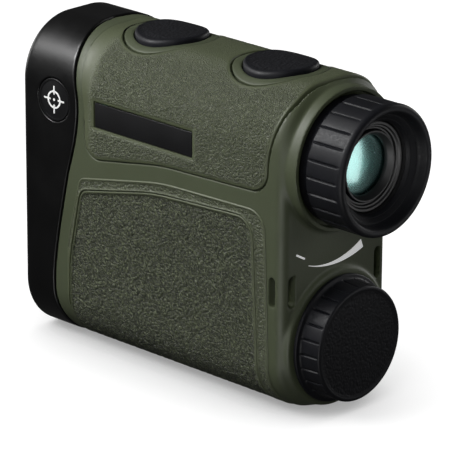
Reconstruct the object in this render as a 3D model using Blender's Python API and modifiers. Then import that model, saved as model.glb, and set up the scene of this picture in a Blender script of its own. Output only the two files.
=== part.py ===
"""A compact monocular laser rangefinder, modelled as an assembly of separate pieces.

Frame: +X points out of the eyepiece (rear), -X out of the objective (front), +Y to the right of
somebody looking through it, +Z up. The origin is the middle of the footprint, on the surface it
stands on. All lengths below are in millimetres and become metres through MM.
"""

import math

import bmesh
import bpy
from mathutils import Matrix, Vector

MM = 0.001

# Driving dimensions.
LENGTH = 98.0
WIDTH = 35.0
HEIGHT = 76.0
TOP_RADIUS = 14.1
BOTTOM_RADIUS = 13.2
FRONT = -LENGTH / 2
EYECUP_END = LENGTH / 2
EYECUP_REACH = 14.9
REAR = EYECUP_END - EYECUP_REACH
HOUSING_WALL = 2.3
COVER_WALL = 1.8
REAR_WALL = 2.5
GAP = 0.3
RUNNING_GAP = 0.25
EDGE_RADIUS = 1.8
ARMOUR_THICKNESS = 0.9

OPTIC_Z = 58.3
EMITTER_Z = 24.0
BATTERY_Z = 16.05
BOARD_Z = 40.0
BUTTON_BOARD_Z = 66.7

FRONT_BUTTON_X = REAR - 51.3
REAR_BUTTON_X = REAR - 17.2
BUTTON_RADIUS = 8.5
BUTTON_CROWN = 0.9
BUTTON_RIM = 11.0
BUTTON_TRAVEL = 0.7
SWITCH_TOP = 69.1

EYECUP_RADIUS = 15.1
CAP_BASE_RADIUS = 14.8
CAP_RADIUS = 13.4
CAP_REACH = 7.6
CAP_SKIRT_RADIUS = 10.8
BATTERY_RADIUS = 7.8
BADGE_RADIUS = 5.0
BADGE_X = REAR - 72.3
BADGE_Z = 59.1

FINE = 32
COARSE = 20
CORNER_STEPS = 7

parts = bpy.data.collections.new("laser_rangefinder")
cutters = bpy.data.collections.new("cutters")


def start_scene():
    for old in list(bpy.data.objects):
        bpy.data.objects.remove(old)
    for collection in (parts, cutters):
        bpy.context.scene.collection.children.link(collection)


# ---------------------------------------------------------------- materials

LOOKS = {
    "green_plastic": ((0.115, 0.125, 0.082), 0.55, 0.0),
    "green_rubber": ((0.105, 0.116, 0.076), 0.8, 0.0),
    "black_plastic": ((0.012, 0.012, 0.013), 0.35, 0.0),
    "black_rubber": ((0.018, 0.018, 0.022), 0.7, 0.0),
    "plate": ((0.02, 0.02, 0.022), 0.3, 0.0),
    "aluminium": ((0.05, 0.05, 0.055), 0.4, 0.9),
    "steel": ((0.6, 0.6, 0.6), 0.3, 1.0),
    "brass": ((0.75, 0.6, 0.3), 0.3, 1.0),
    "glass": ((0.7, 0.85, 0.8), 0.05, 0.0),
    "circuit_board": ((0.02, 0.16, 0.06), 0.5, 0.0),
    "component": ((0.03, 0.03, 0.03), 0.5, 0.0),
    "silicone": ((0.25, 0.25, 0.26), 0.7, 0.0),
    "battery_wrap": ((0.08, 0.1, 0.28), 0.4, 0.2),
}


def material(name):
    found = bpy.data.materials.get(name)
    if found:
        return found
    colour, roughness, metallic = LOOKS[name]
    made = bpy.data.materials.new(name)
    made.use_nodes = True
    shader = made.node_tree.nodes["Principled BSDF"]
    shader.inputs["Base Color"].default_value = (*colour, 1.0)
    shader.inputs["Roughness"].default_value = roughness
    shader.inputs["Metallic"].default_value = metallic
    return made


# ---------------------------------------------------------------- outlines

def arc(centre, radius, start, end, steps):
    """Points on a circle from start to end degrees, both included."""
    angles = [math.radians(start + (end - start) * i / steps) for i in range(steps + 1)]
    return [(centre[0] + radius * math.cos(a), centre[1] + radius * math.sin(a)) for a in angles]


def body_section(inset=0.0):
    """The body's outline across its length as (y, z), moved inwards by inset."""
    half = WIDTH / 2
    top, bottom = TOP_RADIUS - inset, BOTTOM_RADIUS - inset
    top_y, top_z = half - TOP_RADIUS, HEIGHT - TOP_RADIUS
    bottom_y, bottom_z = half - BOTTOM_RADIUS, BOTTOM_RADIUS
    return (
        arc((top_y, top_z), top, 0, 90, CORNER_STEPS)
        + arc((-top_y, top_z), top, 90, 180, CORNER_STEPS)
        + arc((-bottom_y, bottom_z), bottom, 180, 270, CORNER_STEPS)
        + arc((bottom_y, bottom_z), bottom, 270, 360, CORNER_STEPS)
    )


def filleted(corners, steps=5):
    """An outline through (x, y, radius) corners, each rounded by its own radius."""
    points = []
    for i, (x, y, radius) in enumerate(corners):
        here = Vector((x, y))
        before = (Vector(corners[i - 1][:2]) - here).normalized()
        after = (Vector(corners[(i + 1) % len(corners)][:2]) - here).normalized()
        if radius == 0:
            points.append((x, y))
            continue
        half_angle = before.angle(after) / 2
        centre = here + (before + after).normalized() * radius / math.sin(half_angle)
        reach = radius / math.tan(half_angle)
        start, end = here + before * reach - centre, here + after * reach - centre
        turn = start.angle_signed(end)
        for k in range(steps + 1):
            spoke = start.copy()
            spoke.rotate(Matrix.Rotation(-turn * k / steps, 2))
            points.append(tuple(centre + spoke))
    return points


def smooth_through(points, steps=2):
    """A Catmull-Rom curve through the points, ends included."""
    padded = [points[0], *points, points[-1]]
    found = []
    for p0, p1, p2, p3 in zip(padded, padded[1:], padded[2:], padded[3:]):
        for k in range(steps):
            t = k / steps
            found.append(tuple(
                0.5 * (2 * b + (c - a) * t + (2 * a - 5 * b + 4 * c - d) * t**2 + (3 * b - a - 3 * c + d) * t**3)
                for a, b, c, d in zip(p0, p1, p2, p3)
            ))
    return found + [points[-1]]


def seam_line(shift=0.0):
    """The side view of the joint between front cover and housing, from above the top to below the bottom."""
    seam = [(-70.2, 80), (-69.2, 75.9), (-66.9, 69), (-64.9, 61), (-65.6, 52), (-69.0, 39), (-72.0, 26),
            (-72.9, 17), (-72.0, 9), (-71.4, -4)]
    return smooth_through([(REAR + x + shift, z) for x, z in seam])


def upper_armour_outline(shrink=0.0):
    """Side view of the textured rubber over the top."""
    return filleted([
        (REAR - 62.0 + shrink, 47.4 + shrink, 4), (REAR - 38 + shrink, 51.6 + shrink, 60),
        (REAR - 4.6 - shrink, 52.6 + shrink, 3.5), (REAR - 4.4 - shrink, 62, 20),
        (REAR - 1.9 - shrink, 71, 12), (REAR - 1.9 - shrink, 80, 0), (REAR - 67.5 + shrink, 80, 0),
        (REAR - 63.0 + shrink, 68, 20), (REAR - 61.6 + shrink, 60, 10),
    ])


def lower_armour_outline(shrink=0.0):
    """Side view of the textured rubber that wraps the lower grip."""
    return filleted([
        (REAR - 63.6 + shrink, 42.6 - shrink, 3), (REAR - 68.3 + shrink, 22, 30),
        (REAR - 68.0 + shrink, -4, 0), (REAR - 3.9 - shrink, -4, 0),
        (REAR - 5.2 - shrink, 48.3 - shrink, 4.5), (REAR - 38 + shrink, 47.2 - shrink, 60),
    ])


# ---------------------------------------------------------------- solids

def keep(obj, look=None):
    """Puts a finished object among the parts, or among the cutters if it has no material."""
    for collection in list(obj.users_collection):
        collection.objects.unlink(obj)
    (parts if look else cutters).objects.link(obj)
    if look:
        obj.data.materials.clear()
        obj.data.materials.append(material(look))
    else:
        obj.hide_render = True
        obj.display_type = "WIRE"
    return obj


def baked(obj, name, look=None):
    """The evaluated shape as one clean mesh at the same place, with its faces pointing out and no scale.

    The source object is removed."""
    bpy.context.view_layer.update()
    evaluated = obj.evaluated_get(bpy.context.evaluated_depsgraph_get())
    mesh = bpy.data.meshes.new_from_object(evaluated)
    place, turn, scale = obj.matrix_world.decompose()
    mesh.transform(Matrix.Diagonal((*scale, 1)))
    bpy.data.objects.remove(obj)
    shape = bmesh.new()
    shape.from_mesh(mesh)
    bmesh.ops.remove_doubles(shape, verts=shape.verts, dist=1e-6)
    bmesh.ops.recalc_face_normals(shape, faces=shape.faces)
    shape.to_mesh(mesh)
    shape.free()
    mesh.shade_smooth()
    mesh.set_sharp_from_angle(angle=math.radians(35))
    mesh.name = name
    made = bpy.data.objects.new(name, mesh)
    made.matrix_world = Matrix.LocRotScale(place, turn, None)
    return keep(made, look)


SIDEWAYS = {
    "X": Matrix(((0, 0, 1), (1, 0, 0), (0, 1, 0))).to_4x4(),
    "Y": Matrix(((1, 0, 0), (0, 0, -1), (0, 1, 0))).to_4x4(),
    "Z": Matrix.Identity(4),
}


def prism(name, outline, axis, low, high, look=None):
    """A flat outline extruded along an axis: (y, z) along X, (x, z) along Y, (x, y) along Z."""
    curve = bpy.data.curves.new(name, "CURVE")
    curve.dimensions = "2D"
    curve.fill_mode = "BOTH"
    curve.extrude = (high - low) / 2 * MM
    spline = curve.splines.new("POLY")
    spline.points.add(len(outline) - 1)
    for point, (u, v) in zip(spline.points, outline):
        point.co = (u * MM, v * MM, 0, 1)
    spline.use_cyclic_u = True
    obj = bpy.data.objects.new(name, curve)
    bpy.context.scene.collection.objects.link(obj)
    middle = (low + high) / 2 * MM
    # The Y prism's own axis points along -Y.
    shift = {"X": (middle, 0, 0), "Y": (0, middle, 0), "Z": (0, 0, middle)}[axis]
    obj.matrix_world = Matrix.Translation(shift) @ SIDEWAYS[axis]
    return baked(obj, name, look)


def box(name, x, y, z, look=None):
    """A block between three (low, high) ranges."""
    bpy.ops.mesh.primitive_cube_add(size=1)
    obj = bpy.context.object
    obj.scale = [(high - low) * MM for low, high in (x, y, z)]
    obj.location = [(high + low) / 2 * MM for low, high in (x, y, z)]
    return baked(obj, name, look)


def turned(name, profile, y, z, look=None, steps=COARSE, axis="X"):
    """A profile of (along, radius) points turned about an axis along X or Z through (y, z)."""
    mesh = bpy.data.meshes.new(name)
    points = [(radius * MM, 0, along * MM) for along, radius in profile]
    edges = [(i, (i + 1) % len(points)) for i in range(len(points))]
    if profile[0][1] == 0:
        edges.pop()
    mesh.from_pydata(points, edges, [])
    obj = bpy.data.objects.new(name, mesh)
    bpy.context.scene.collection.objects.link(obj)
    screw = obj.modifiers.new("turn", "SCREW")
    screw.axis = "Z"
    screw.steps = screw.render_steps = steps
    screw.use_merge_vertices = True
    screw.merge_threshold = 1e-6
    obj.matrix_world = Matrix.Translation((0, y * MM, z * MM)) @ SIDEWAYS[axis]
    return baked(obj, name, look)


def tube(name, low, high, outer, inner, y, z, look=None, steps=COARSE):
    return turned(name, [(low, outer), (high, outer), (high, inner), (low, inner)], y, z, look, steps)


def rod(name, low, high, radius, y, z, look=None, steps=COARSE):
    return turned(name, [(low, 0), (low, radius), (high, radius), (high, 0)], y, z, look, steps)


def post(name, x, y, low, high, radius, look=None, steps=COARSE):
    """An upright cylinder."""
    bpy.ops.mesh.primitive_cylinder_add(vertices=steps, radius=radius * MM, depth=(high - low) * MM)
    obj = bpy.context.object
    obj.location = (x * MM, y * MM, (low + high) / 2 * MM)
    return baked(obj, name, look)


def combine(target, other, operation):
    modifier = target.modifiers.new(operation.lower(), "BOOLEAN")
    modifier.operation = operation
    modifier.solver = "EXACT"
    modifier.object = other
    return target


def cut(target, *others):
    for other in others:
        combine(target, other, "DIFFERENCE")
    return target


def join(target, *others):
    for other in others:
        combine(target, other, "UNION")
    return target


def overlap_of(target, other):
    return combine(target, other, "INTERSECT")


def soften(obj, width, end):
    """Rounds the rim of an X prism at one end: -1 for the front, 1 for the rear."""
    shape = bmesh.new()
    shape.from_mesh(obj.data)
    flat = [f for f in shape.faces if f.normal.z * end > 0.99]
    rim = {e for f in flat for e in f.edges if len({g in flat for g in e.link_faces}) == 2}
    bmesh.ops.bevel(shape, geom=list(rim), offset=width * MM, segments=3, profile=0.5, affect="EDGES",
                    clamp_overlap=True)
    shape.to_mesh(obj.data)
    shape.free()
    return obj


def skin(name, outer, inner, low_x, high_x, outline, look=None):
    """A band between two insets of the body section, kept where a side outline covers it."""
    band = prism(name + "_outer", body_section(outer), "X", low_x, high_x)
    cut(band, prism(name + "_inner", body_section(inner), "X", low_x - 1, high_x + 1))
    overlap_of(band, prism(name + "_side", outline, "Y", -WIDTH, WIDTH))
    return baked(band, name, look)


# ---------------------------------------------------------------- casing

def button_well(name, x, radius):
    return post(name, x, 0, 60, HEIGHT + 10, radius)


def badge_pocket(side):
    depth = sorted((side * (WIDTH / 2 - 0.7), side * (WIDTH / 2 + 2)))
    outline = arc((BADGE_X, BADGE_Z), BADGE_RADIUS + 0.2, 0, 350, 35)
    return prism(f"badge_pocket_{side}", outline, "Y", *depth)


def make_front_cover():
    low, high = FRONT, REAR - 60
    shell = soften(prism("front_cover", body_section(), "X", low, high, "black_plastic"), EDGE_RADIUS, -1)
    cut(shell, prism("cover_inside", body_section(COVER_WALL), "X", low + 2.0, high + 5))
    seam = seam_line()
    behind = [(high + 5, 80), *seam, (high + 5, -4)]
    cut(shell, prism("cover_behind_seam", behind, "Y", -WIDTH, WIDTH))
    cut(shell, rod("objective_window", low - 2, low + 5, 11.2, 0, OPTIC_Z, steps=FINE))
    cut(shell, rod("emitter_window", low - 2, low + 5, 8.2, 0, EMITTER_Z, steps=FINE))
    cut(shell, badge_pocket(-1), badge_pocket(1))
    return shell


def strap_cutters(side):
    """The L-shaped passage that leaves a post at the corner for a wrist strap."""
    rear_slot = sorted((side * 12.6, side * 15.1))
    side_slot = sorted((side * 12.6, side * 20.0))
    low_z, high_z = 26.3, 33.6
    into = REAR - 4.0
    return (
        box(f"strap_rear_slot_{side}", (into, REAR + 2), rear_slot, (low_z, high_z)),
        box(f"strap_side_slot_{side}", (into, REAR - 2.1), side_slot, (low_z, high_z)),
    )


def make_housing():
    low = REAR - 75
    shell = soften(prism("main_housing", body_section(), "X", low, REAR, "green_plastic"), EDGE_RADIUS, 1)
    cut(shell, prism("housing_inside", body_section(HOUSING_WALL), "X", low - 5, REAR - REAR_WALL))
    seam = seam_line(GAP)
    before = [(low - 10, 80), *seam, (low - 10, -4)]
    cut(shell, prism("housing_before_seam", before, "Y", -WIDTH, WIDTH))
    for side in (-1, 1):
        block_y = sorted((side * 11.2, side * (WIDTH / 2 - 1.0)))
        join(shell, box(f"strap_block_{side}", (REAR - 5.6, REAR - 1.0), block_y, (24.3, 35.6)))
        cut(shell, *strap_cutters(side))
    join(shell, tube("eyepiece_boss", REAR - 2.0, REAR + 2.9, 16.6, 12.5, 0, OPTIC_Z, steps=FINE))
    join(shell, tube("battery_boss", REAR - 2.0, REAR + 0.8, BATTERY_Z, 12.8, 0, BATTERY_Z, steps=FINE))
    cut(shell, rod("eyepiece_bore", REAR - 10, REAR + 10, 12.4, 0, OPTIC_Z, steps=FINE))
    cut(shell, rod("battery_bore", REAR - 10, REAR + 10, 12.7, 0, BATTERY_Z, steps=FINE))
    for name, x in (("front", FRONT_BUTTON_X), ("rear", REAR_BUTTON_X)):
        cut(shell, button_well(f"{name}_button_hole", x, BUTTON_RADIUS + 0.35))
    depth = ARMOUR_THICKNESS + GAP
    upper_seat = skin("upper_seat", -3, depth, low - 2, REAR + 2, upper_armour_outline())
    for name, x in (("front", FRONT_BUTTON_X), ("rear", REAR_BUTTON_X)):
        cut(upper_seat, button_well(f"{name}_button_rim", x, BUTTON_RIM))
    cut(shell, upper_seat, skin("lower_seat", -3, depth, low - 2, REAR + 2, lower_armour_outline()))
    return shell


def make_armour():
    low = REAR - 75
    upper = skin("upper_armour", 0, ARMOUR_THICKNESS, low, REAR - 0.2, upper_armour_outline(GAP), "green_rubber")
    for name, x in (("front", FRONT_BUTTON_X), ("rear", REAR_BUTTON_X)):
        cut(upper, button_well(f"{name}_armour_hole", x, BUTTON_RIM + GAP))
    for side in (-1, 1):
        depth = sorted((side * (WIDTH / 2 - 0.6), side * (WIDTH / 2 + 2)))
        cut(upper, box(f"nameplate_pocket_{side}", (REAR - 59.1, REAR - 27.7), depth, (55.3, 61.7)))
    skin("lower_armour", 0, ARMOUR_THICKNESS, low, REAR - 0.2, lower_armour_outline(GAP), "green_rubber")
    return upper


def make_plates():
    for side, word in ((-1, "left"), (1, "right")):
        face = side * WIDTH / 2
        badge_y = sorted((face - side * 0.4, face - side * 0.05))
        outline = arc((BADGE_X, BADGE_Z), BADGE_RADIUS, 0, 350, 35)
        prism(f"{word}_badge", outline, "Y", *badge_y, look="plate")
        plate_y = sorted((face - side * 0.3, face - side * 0.05))
        box(f"{word}_nameplate", (REAR - 58.8, REAR - 28.0), plate_y, (55.6, 61.4), "plate")


def make_gasket():
    """A seal on the inside of the joint between front cover and housing."""
    front, back = seam_line(-1.2), seam_line(1.5)
    skin("cover_gasket", HOUSING_WALL + 0.3, HOUSING_WALL + 1.2, REAR - 80, REAR - 55, front + back[::-1], "silicone")


# ---------------------------------------------------------------- optics

def lens(name, middle, radius, bulge, edge, z, look="glass"):
    """A biconvex lens: bulge is how far each face stands out of its edge."""
    face = [(edge / 2 + bulge * (1 - (i / 4) ** 2), radius * i / 4) for i in range(5)]
    profile = [(middle + x, r) for x, r in face] + [(middle - x, r) for x, r in face[::-1]]
    return turned(name, profile, 0, z, look)


def make_objective():
    cell = [(FRONT + 2.4, 12.6), (FRONT + 4.4, 12.6), (FRONT + 4.4, 11.8), (FRONT + 18, 11.8), (FRONT + 18, 9.4),
            (FRONT + 9.6, 9.4), (FRONT + 9.6, 10.5), (FRONT + 2.4, 10.5)]
    turned("objective_cell", cell, 0, OPTIC_Z, "aluminium", FINE)
    lens("objective_lens_front", FRONT + 5.7, 10.2, 0.9, 1.2, OPTIC_Z)
    lens("objective_lens_rear", FRONT + 8.55, 10.2, 0.25, 0.9, OPTIC_Z)
    tube("objective_retainer", FRONT + 2.5, FRONT + 4.4, 10.2, 9.3, 0, OPTIC_Z, "aluminium", FINE)


def make_emitter():
    barrel = [(FRONT + 2.4, 9.6), (FRONT + 4.4, 9.6), (FRONT + 4.4, 8.7), (FRONT + 26, 8.7), (FRONT + 26, 6.6),
              (FRONT + 9.0, 6.6), (FRONT + 9.0, 7.7), (FRONT + 2.4, 7.7)]
    turned("emitter_barrel", barrel, 0, EMITTER_Z, "aluminium")
    lens("emitter_lens", FRONT + 6.7, 7.4, 1.1, 1.4, EMITTER_Z)
    tube("emitter_retainer", FRONT + 2.5, FRONT + 4.9, 7.4, 6.7, 0, EMITTER_Z, "aluminium")
    rod("laser_board", FRONT + 26.3, FRONT + 27.6, 8.6, 0, EMITTER_Z, "circuit_board")
    rod("laser_diode", FRONT + 22.4, FRONT + 26.0, 2.8, 0, EMITTER_Z, "brass")


def make_prisms():
    low, high = -26.0, 14.0
    frame = box("prism_frame", (low, high), (-12.0, 12.0), (OPTIC_Z - 9.5, OPTIC_Z + 8.0), "aluminium")
    cut(frame, box("prism_bay", (low + 2, high - 2), (-20, 10.4), (OPTIC_Z - 7.6, OPTIC_Z + 7.1)))
    cut(frame, rod("prism_light_path", low - 5, high + 5, 6.4, 0, OPTIC_Z))
    half = 7.0
    bottom, top = OPTIC_Z - half, OPTIC_Z + half
    front = [(low + 3, bottom), (low + 3, top), (low + 9, top), (low + 17.5, bottom + 3), (low + 17.5, bottom)]
    roof = [(low + 10.5, top), (low + 19, bottom + 3), (low + 19, bottom), (high - 3, bottom), (high - 3, top)]
    prism("front_prism", front, "Y", -7.0, 7.0, "glass")
    prism("roof_prism", roof, "Y", -7.0, 7.0, "glass")
    box("receiver_diode", (-6.5, 0.5), (-4.0, 4.0), (OPTIC_Z - 13.8, OPTIC_Z - 9.8), "steel")
    box("display_module", (14.5, 16.9), (-7.5, 7.5), (OPTIC_Z - 7.5, OPTIC_Z + 7.5), "component")


def make_eyepiece():
    """Fixed barrel, turning focus ring with its rubber eyecup, and the lens cell that slides in the barrel."""
    barrel = [(17.4, 8.0), (27.0, 8.0), (27.0, 12.0), (REAR + 10.6, 12.0), (REAR + 10.6, 10.6), (28.6, 10.6),
              (28.6, 6.9), (17.4, 6.9)]
    turned("eyepiece_barrel", barrel, 0, OPTIC_Z, "black_plastic", FINE)
    ring = [(REAR + 3.3, 14.1), (REAR + 12.3, 14.1), (REAR + 12.3, 12.0 + RUNNING_GAP),
            (REAR + 3.3, 12.0 + RUNNING_GAP)]
    turned("diopter_ring", ring, 0, OPTIC_Z, "black_plastic", FINE)
    cup = [(REAR + 4.35, EYECUP_RADIUS - 0.4), (REAR + 5.0, EYECUP_RADIUS), (EYECUP_END, EYECUP_RADIUS),
           (EYECUP_END, EYECUP_RADIUS - 1.5), (REAR + 12.7, 10.4), (REAR + 12.7, 14.4), (REAR + 4.35, 14.4)]
    turned("eyecup", cup, 0, OPTIC_Z, "black_rubber", FINE)
    cell = [(REAR - 2.4, 10.3), (REAR + 10.0, 10.3), (REAR + 10.0, 8.4), (REAR - 2.4, 8.4)]
    turned("ocular_cell", cell, 0, OPTIC_Z, "aluminium", FINE)
    lens("field_lens", REAR, 8.1, 0.9, 1.4, OPTIC_Z)
    lens("eye_lens", REAR + 6.2, 8.1, 1.3, 1.6, OPTIC_Z)
    tube("ocular_retainer", REAR + 7.8, REAR + 9.8, 8.1, 6.9, 0, OPTIC_Z, "black_plastic", FINE)


# ---------------------------------------------------------------- power

def coil(name, start_x, end_x, start_radius, end_radius, wire, turns, z, look):
    """A conical spring about the battery's axis."""
    curve = bpy.data.curves.new(name, "CURVE")
    curve.dimensions = "3D"
    curve.bevel_depth = wire / 2 * MM
    curve.bevel_resolution = 1
    curve.use_fill_caps = True
    spline = curve.splines.new("POLY")
    count = int(turns * 14)
    spline.points.add(count)
    for i, point in enumerate(spline.points):
        share = i / count
        angle = 2 * math.pi * turns * share
        radius = start_radius + (end_radius - start_radius) * share
        x = start_x + (end_x - start_x) * share
        point.co = (x * MM, radius * math.cos(angle) * MM, radius * math.sin(angle) * MM, 1)
    obj = bpy.data.objects.new(name, curve)
    obj.location.z = z * MM
    bpy.context.scene.collection.objects.link(obj)
    return baked(obj, name, look)


def make_battery():
    base = REAR - 32.0
    holder = [(base, 0), (base, 9.8), (REAR - 9.0, 9.8), (REAR - 9.0, 12.4), (REAR + 0.6, 12.4),
              (REAR + 0.6, 11.15), (REAR - 7.2, 11.15), (REAR - 7.2, 8.2), (base + 1.8, 8.2), (base + 1.8, 0)]
    turned("battery_tube", holder, 0, BATTERY_Z, "black_plastic", FINE)
    rod("battery_contact", base + 2.1, base + 2.7, 6.0, 0, BATTERY_Z, "brass")
    start, end = base + 3.0, base + 3.0 + 27.0
    cell = [(start, 0), (start, BATTERY_RADIUS - 0.6), (start + 0.6, BATTERY_RADIUS), (end - 1.8, BATTERY_RADIUS),
            (end - 1.2, BATTERY_RADIUS - 0.6), (end - 1.2, 3.0), (end, 3.0), (end, 0)]
    turned("battery", cell, 0, BATTERY_Z, "battery_wrap")
    face = REAR + CAP_REACH
    cap = [(face, 0), (face, CAP_RADIUS - 0.5), (face - 0.5, CAP_RADIUS), (REAR + 2.4, CAP_RADIUS + 0.3),
           (REAR + 2.0, CAP_BASE_RADIUS), (REAR + 1.1, CAP_BASE_RADIUS), (REAR + 1.1, CAP_SKIRT_RADIUS),
           (REAR - 1.6, CAP_SKIRT_RADIUS), (REAR - 1.6, 9.75), (REAR - 3.4, 9.75),
           (REAR - 3.4, CAP_SKIRT_RADIUS), (REAR - 6.6, CAP_SKIRT_RADIUS), (REAR - 6.6, 9.0), (face - 2.0, 9.0),
           (face - 2.0, 0)]
    turned("battery_cap", cap, 0, BATTERY_Z, "black_rubber", FINE)
    seal_x, seal_radius = REAR - 2.5, 10.45
    seal = [(seal_x + x, r) for x, r in arc((0, seal_radius), 0.6, 0, 315, 7)]
    turned("cap_oring", seal, 0, BATTERY_Z, "silicone")
    rod("contact_carrier", face - 4.4, face - 2.4, 8.7, 0, BATTERY_Z, "component")
    coil("cap_spring", face - 5.1, end + 0.75, 5.6, 2.6, 0.8, 2.5, BATTERY_Z, "steel")


# ---------------------------------------------------------------- electronics

def screw(name, x, y, z):
    """A small pan-head screw, head up."""
    profile = [(z - 3.4, 0), (z - 3.4, 0.75), (z + 0.3, 0.75), (z + 0.3, 1.5), (z + 1.2, 1.2), (z + 1.2, 0)]
    mesh_profile = [(along, radius) for along, radius in profile]
    obj = turned(name, mesh_profile, 0, 0, "steel", 16, axis="Z")
    obj.location = (x * MM, y * MM, 0)
    return obj


def make_electronics():
    thickness = 1.2
    top = BOARD_Z + thickness
    board = box("main_board", (-24.0, 27.0), (-12.5, 12.5), (BOARD_Z, top), "circuit_board")
    corners = [(-21.5, -10.0), (-21.5, 10.0), (24.5, -10.0), (24.5, 10.0)]
    for i, (x, y) in enumerate(corners, 1):
        cut(board, post(f"board_hole_{i}", x, y, BOARD_Z - 3, top + 3, 1.05, steps=16))
        screw(f"board_screw_{i}", x, y, top)
    box("processor_chip", (6.0, 15.0), (-4.5, 4.5), (top + GAP, top + 1.6), "component")
    post("high_voltage_coil", -14.0, 0, top + GAP, top + 4.6, 4.2, "component")
    box("storage_capacitor", (-10.0, 2.0), (-11.0, -5.0), (BOARD_Z - 5.2, BOARD_Z - GAP), "brass")
    box("button_board", (-26.0, 22.0), (-6.0, 6.0), (BUTTON_BOARD_Z, BUTTON_BOARD_Z + 0.8), "circuit_board")


def make_button(word, x):
    """A crowned cap that follows the body's top, over a stem that reaches down to its switch."""
    cap = post(f"{word}_button_cap", x, 0, HEIGHT - 3.4, HEIGHT + 5, BUTTON_RADIUS, "black_rubber", FINE)
    crown = prism(f"{word}_button_crown", body_section(-BUTTON_CROWN), "X", x - 12, x + 12)
    overlap_of(cap, crown)
    tip = SWITCH_TOP + BUTTON_TRAVEL + 0.1
    flange = HEIGHT - 5.0
    profile = [(tip, 0), (tip, 1.9), (flange, 1.9), (flange, BUTTON_RADIUS + 1.1), (flange + 0.7, BUTTON_RADIUS + 1.1),
               (flange + 0.7, 7.0), (HEIGHT - 3.7, 7.0), (HEIGHT - 3.7, 0)]
    stem = turned(f"{word}_button_stem", profile, 0, 0, "black_plastic", COARSE, axis="Z")
    stem.location.x = x * MM
    half = 2.6
    box(f"{word}_switch", (x - half, x + half), (-half, half), (BUTTON_BOARD_Z + 1.1, SWITCH_TOP), "steel")


start_scene()
make_front_cover()
make_housing()
make_armour()
make_plates()
make_gasket()
make_objective()
make_emitter()
make_prisms()
make_eyepiece()
make_battery()
make_electronics()
make_button("front", FRONT_BUTTON_X)
make_button("rear", REAR_BUTTON_X)
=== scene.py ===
import math

import bmesh
import bpy
import numpy as np
from mathutils import Matrix, Vector
from mathutils.geometry import tessellate_polygon


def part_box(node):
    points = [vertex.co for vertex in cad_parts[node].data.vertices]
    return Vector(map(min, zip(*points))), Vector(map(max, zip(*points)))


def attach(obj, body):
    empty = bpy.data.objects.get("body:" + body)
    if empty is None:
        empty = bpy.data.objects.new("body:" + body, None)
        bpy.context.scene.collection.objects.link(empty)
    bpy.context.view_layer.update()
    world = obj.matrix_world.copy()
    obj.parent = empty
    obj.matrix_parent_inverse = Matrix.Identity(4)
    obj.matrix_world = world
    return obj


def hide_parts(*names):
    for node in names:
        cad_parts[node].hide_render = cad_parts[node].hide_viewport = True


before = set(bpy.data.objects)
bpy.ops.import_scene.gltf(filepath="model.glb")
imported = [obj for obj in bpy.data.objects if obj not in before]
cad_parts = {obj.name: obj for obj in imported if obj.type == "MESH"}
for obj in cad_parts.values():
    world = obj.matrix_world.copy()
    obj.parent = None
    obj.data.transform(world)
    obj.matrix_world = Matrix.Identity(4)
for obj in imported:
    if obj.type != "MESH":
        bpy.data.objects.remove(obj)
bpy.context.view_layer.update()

# Lengths are in millimetres here, and become metres where a mesh is made.
MM = 0.001


def edge(node, axis, side):
    """One face of a CAD node's box: axis 0-2, side 0 low or 1 high, in millimetres."""
    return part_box(node)[side][axis] / MM


def centre(node, axis):
    return (edge(node, axis, 0) + edge(node, axis, 1)) / 2


# ---------------------------------------------------------------- places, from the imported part

FRONT = edge("front_cover", 0, 0)
HALF = edge("front_cover", 1, 1)
TOP = edge("front_cover", 2, 1)
REAR = edge("battery_cap", 0, 1) - 7.6
CUP_END = edge("eyecup", 0, 1)
OPTIC_Z = centre("eyecup", 2)
EMITTER_Z = centre("emitter_barrel", 2)
BATTERY_Z = centre("battery_cap", 2)
BUTTONS = {"front": centre("front_button_cap", 0), "rear": centre("rear_button_cap", 0)}
BUTTON_R = edge("front_button_cap", 1, 1)
BADGE = (centre("left_badge", 0), centre("left_badge", 2))
TOP_R, BOTTOM_R = 14.1, 13.2
FRONT_EDGE, REAR_EDGE = 2.0, 2.6
BAND_INSET = 0.3
SEAT_DEPTH = 1.1
SPLIT = REAR - 9.0
SLOT_Z, REAR_SLOT_Y, SIDE_SLOT_X = 29.95, 13.97, REAR - 3.24

# Arc length round the section, from the middle of the top (0) to the middle of the bottom (S_END).
F1, F2 = HALF - TOP_R, HALF - BOTTOM_R
S1 = F1
S2 = S1 + TOP_R * math.pi / 2
S3 = S2 + TOP - TOP_R - BOTTOM_R
S4 = S3 + BOTTOM_R * math.pi / 2
S_END = S4 + F2


def section(s):
    """Point and outward normal on the body's section, at a signed arc length from the top's middle."""
    a, side = np.abs(s), np.where(s < 0, -1.0, 1.0)
    top = np.clip((a - S1) / TOP_R, 0, math.pi / 2)
    low = np.clip((a - S3) / BOTTOM_R, 0, math.pi / 2)
    y = np.where(a < S3, np.minimum(a, F1) + TOP_R * np.sin(top), F2 + BOTTOM_R * np.cos(low) - np.maximum(a - S4, 0))
    z = np.where(a < S3, TOP - TOP_R + TOP_R * np.cos(top) - np.clip(a - S2, 0, S3 - S2),
                 BOTTOM_R - BOTTOM_R * np.sin(low))
    ny = np.where(a < S3, np.sin(top), np.cos(low))
    nz = np.where(a < S3, np.cos(top), -np.sin(low))
    return y * side, z, ny * side, nz


def around(y, z):
    """The arc length of the section's nearest point, unsigned."""
    a = np.abs(y)
    top = np.arctan2(np.maximum(a - F1, 0), np.maximum(z - (TOP - TOP_R), 1e-9))
    low = np.arctan2(np.maximum(BOTTOM_R - z, 0), np.maximum(a - F2, 1e-9))
    upper = np.minimum(a, F1) + TOP_R * top
    middle = S2 + TOP - TOP_R - z
    lower = S3 + BOTTOM_R * low + np.maximum(F2 - a, 0)
    return np.where(z > TOP - TOP_R, upper, np.where(z > BOTTOM_R, middle, lower))


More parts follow.
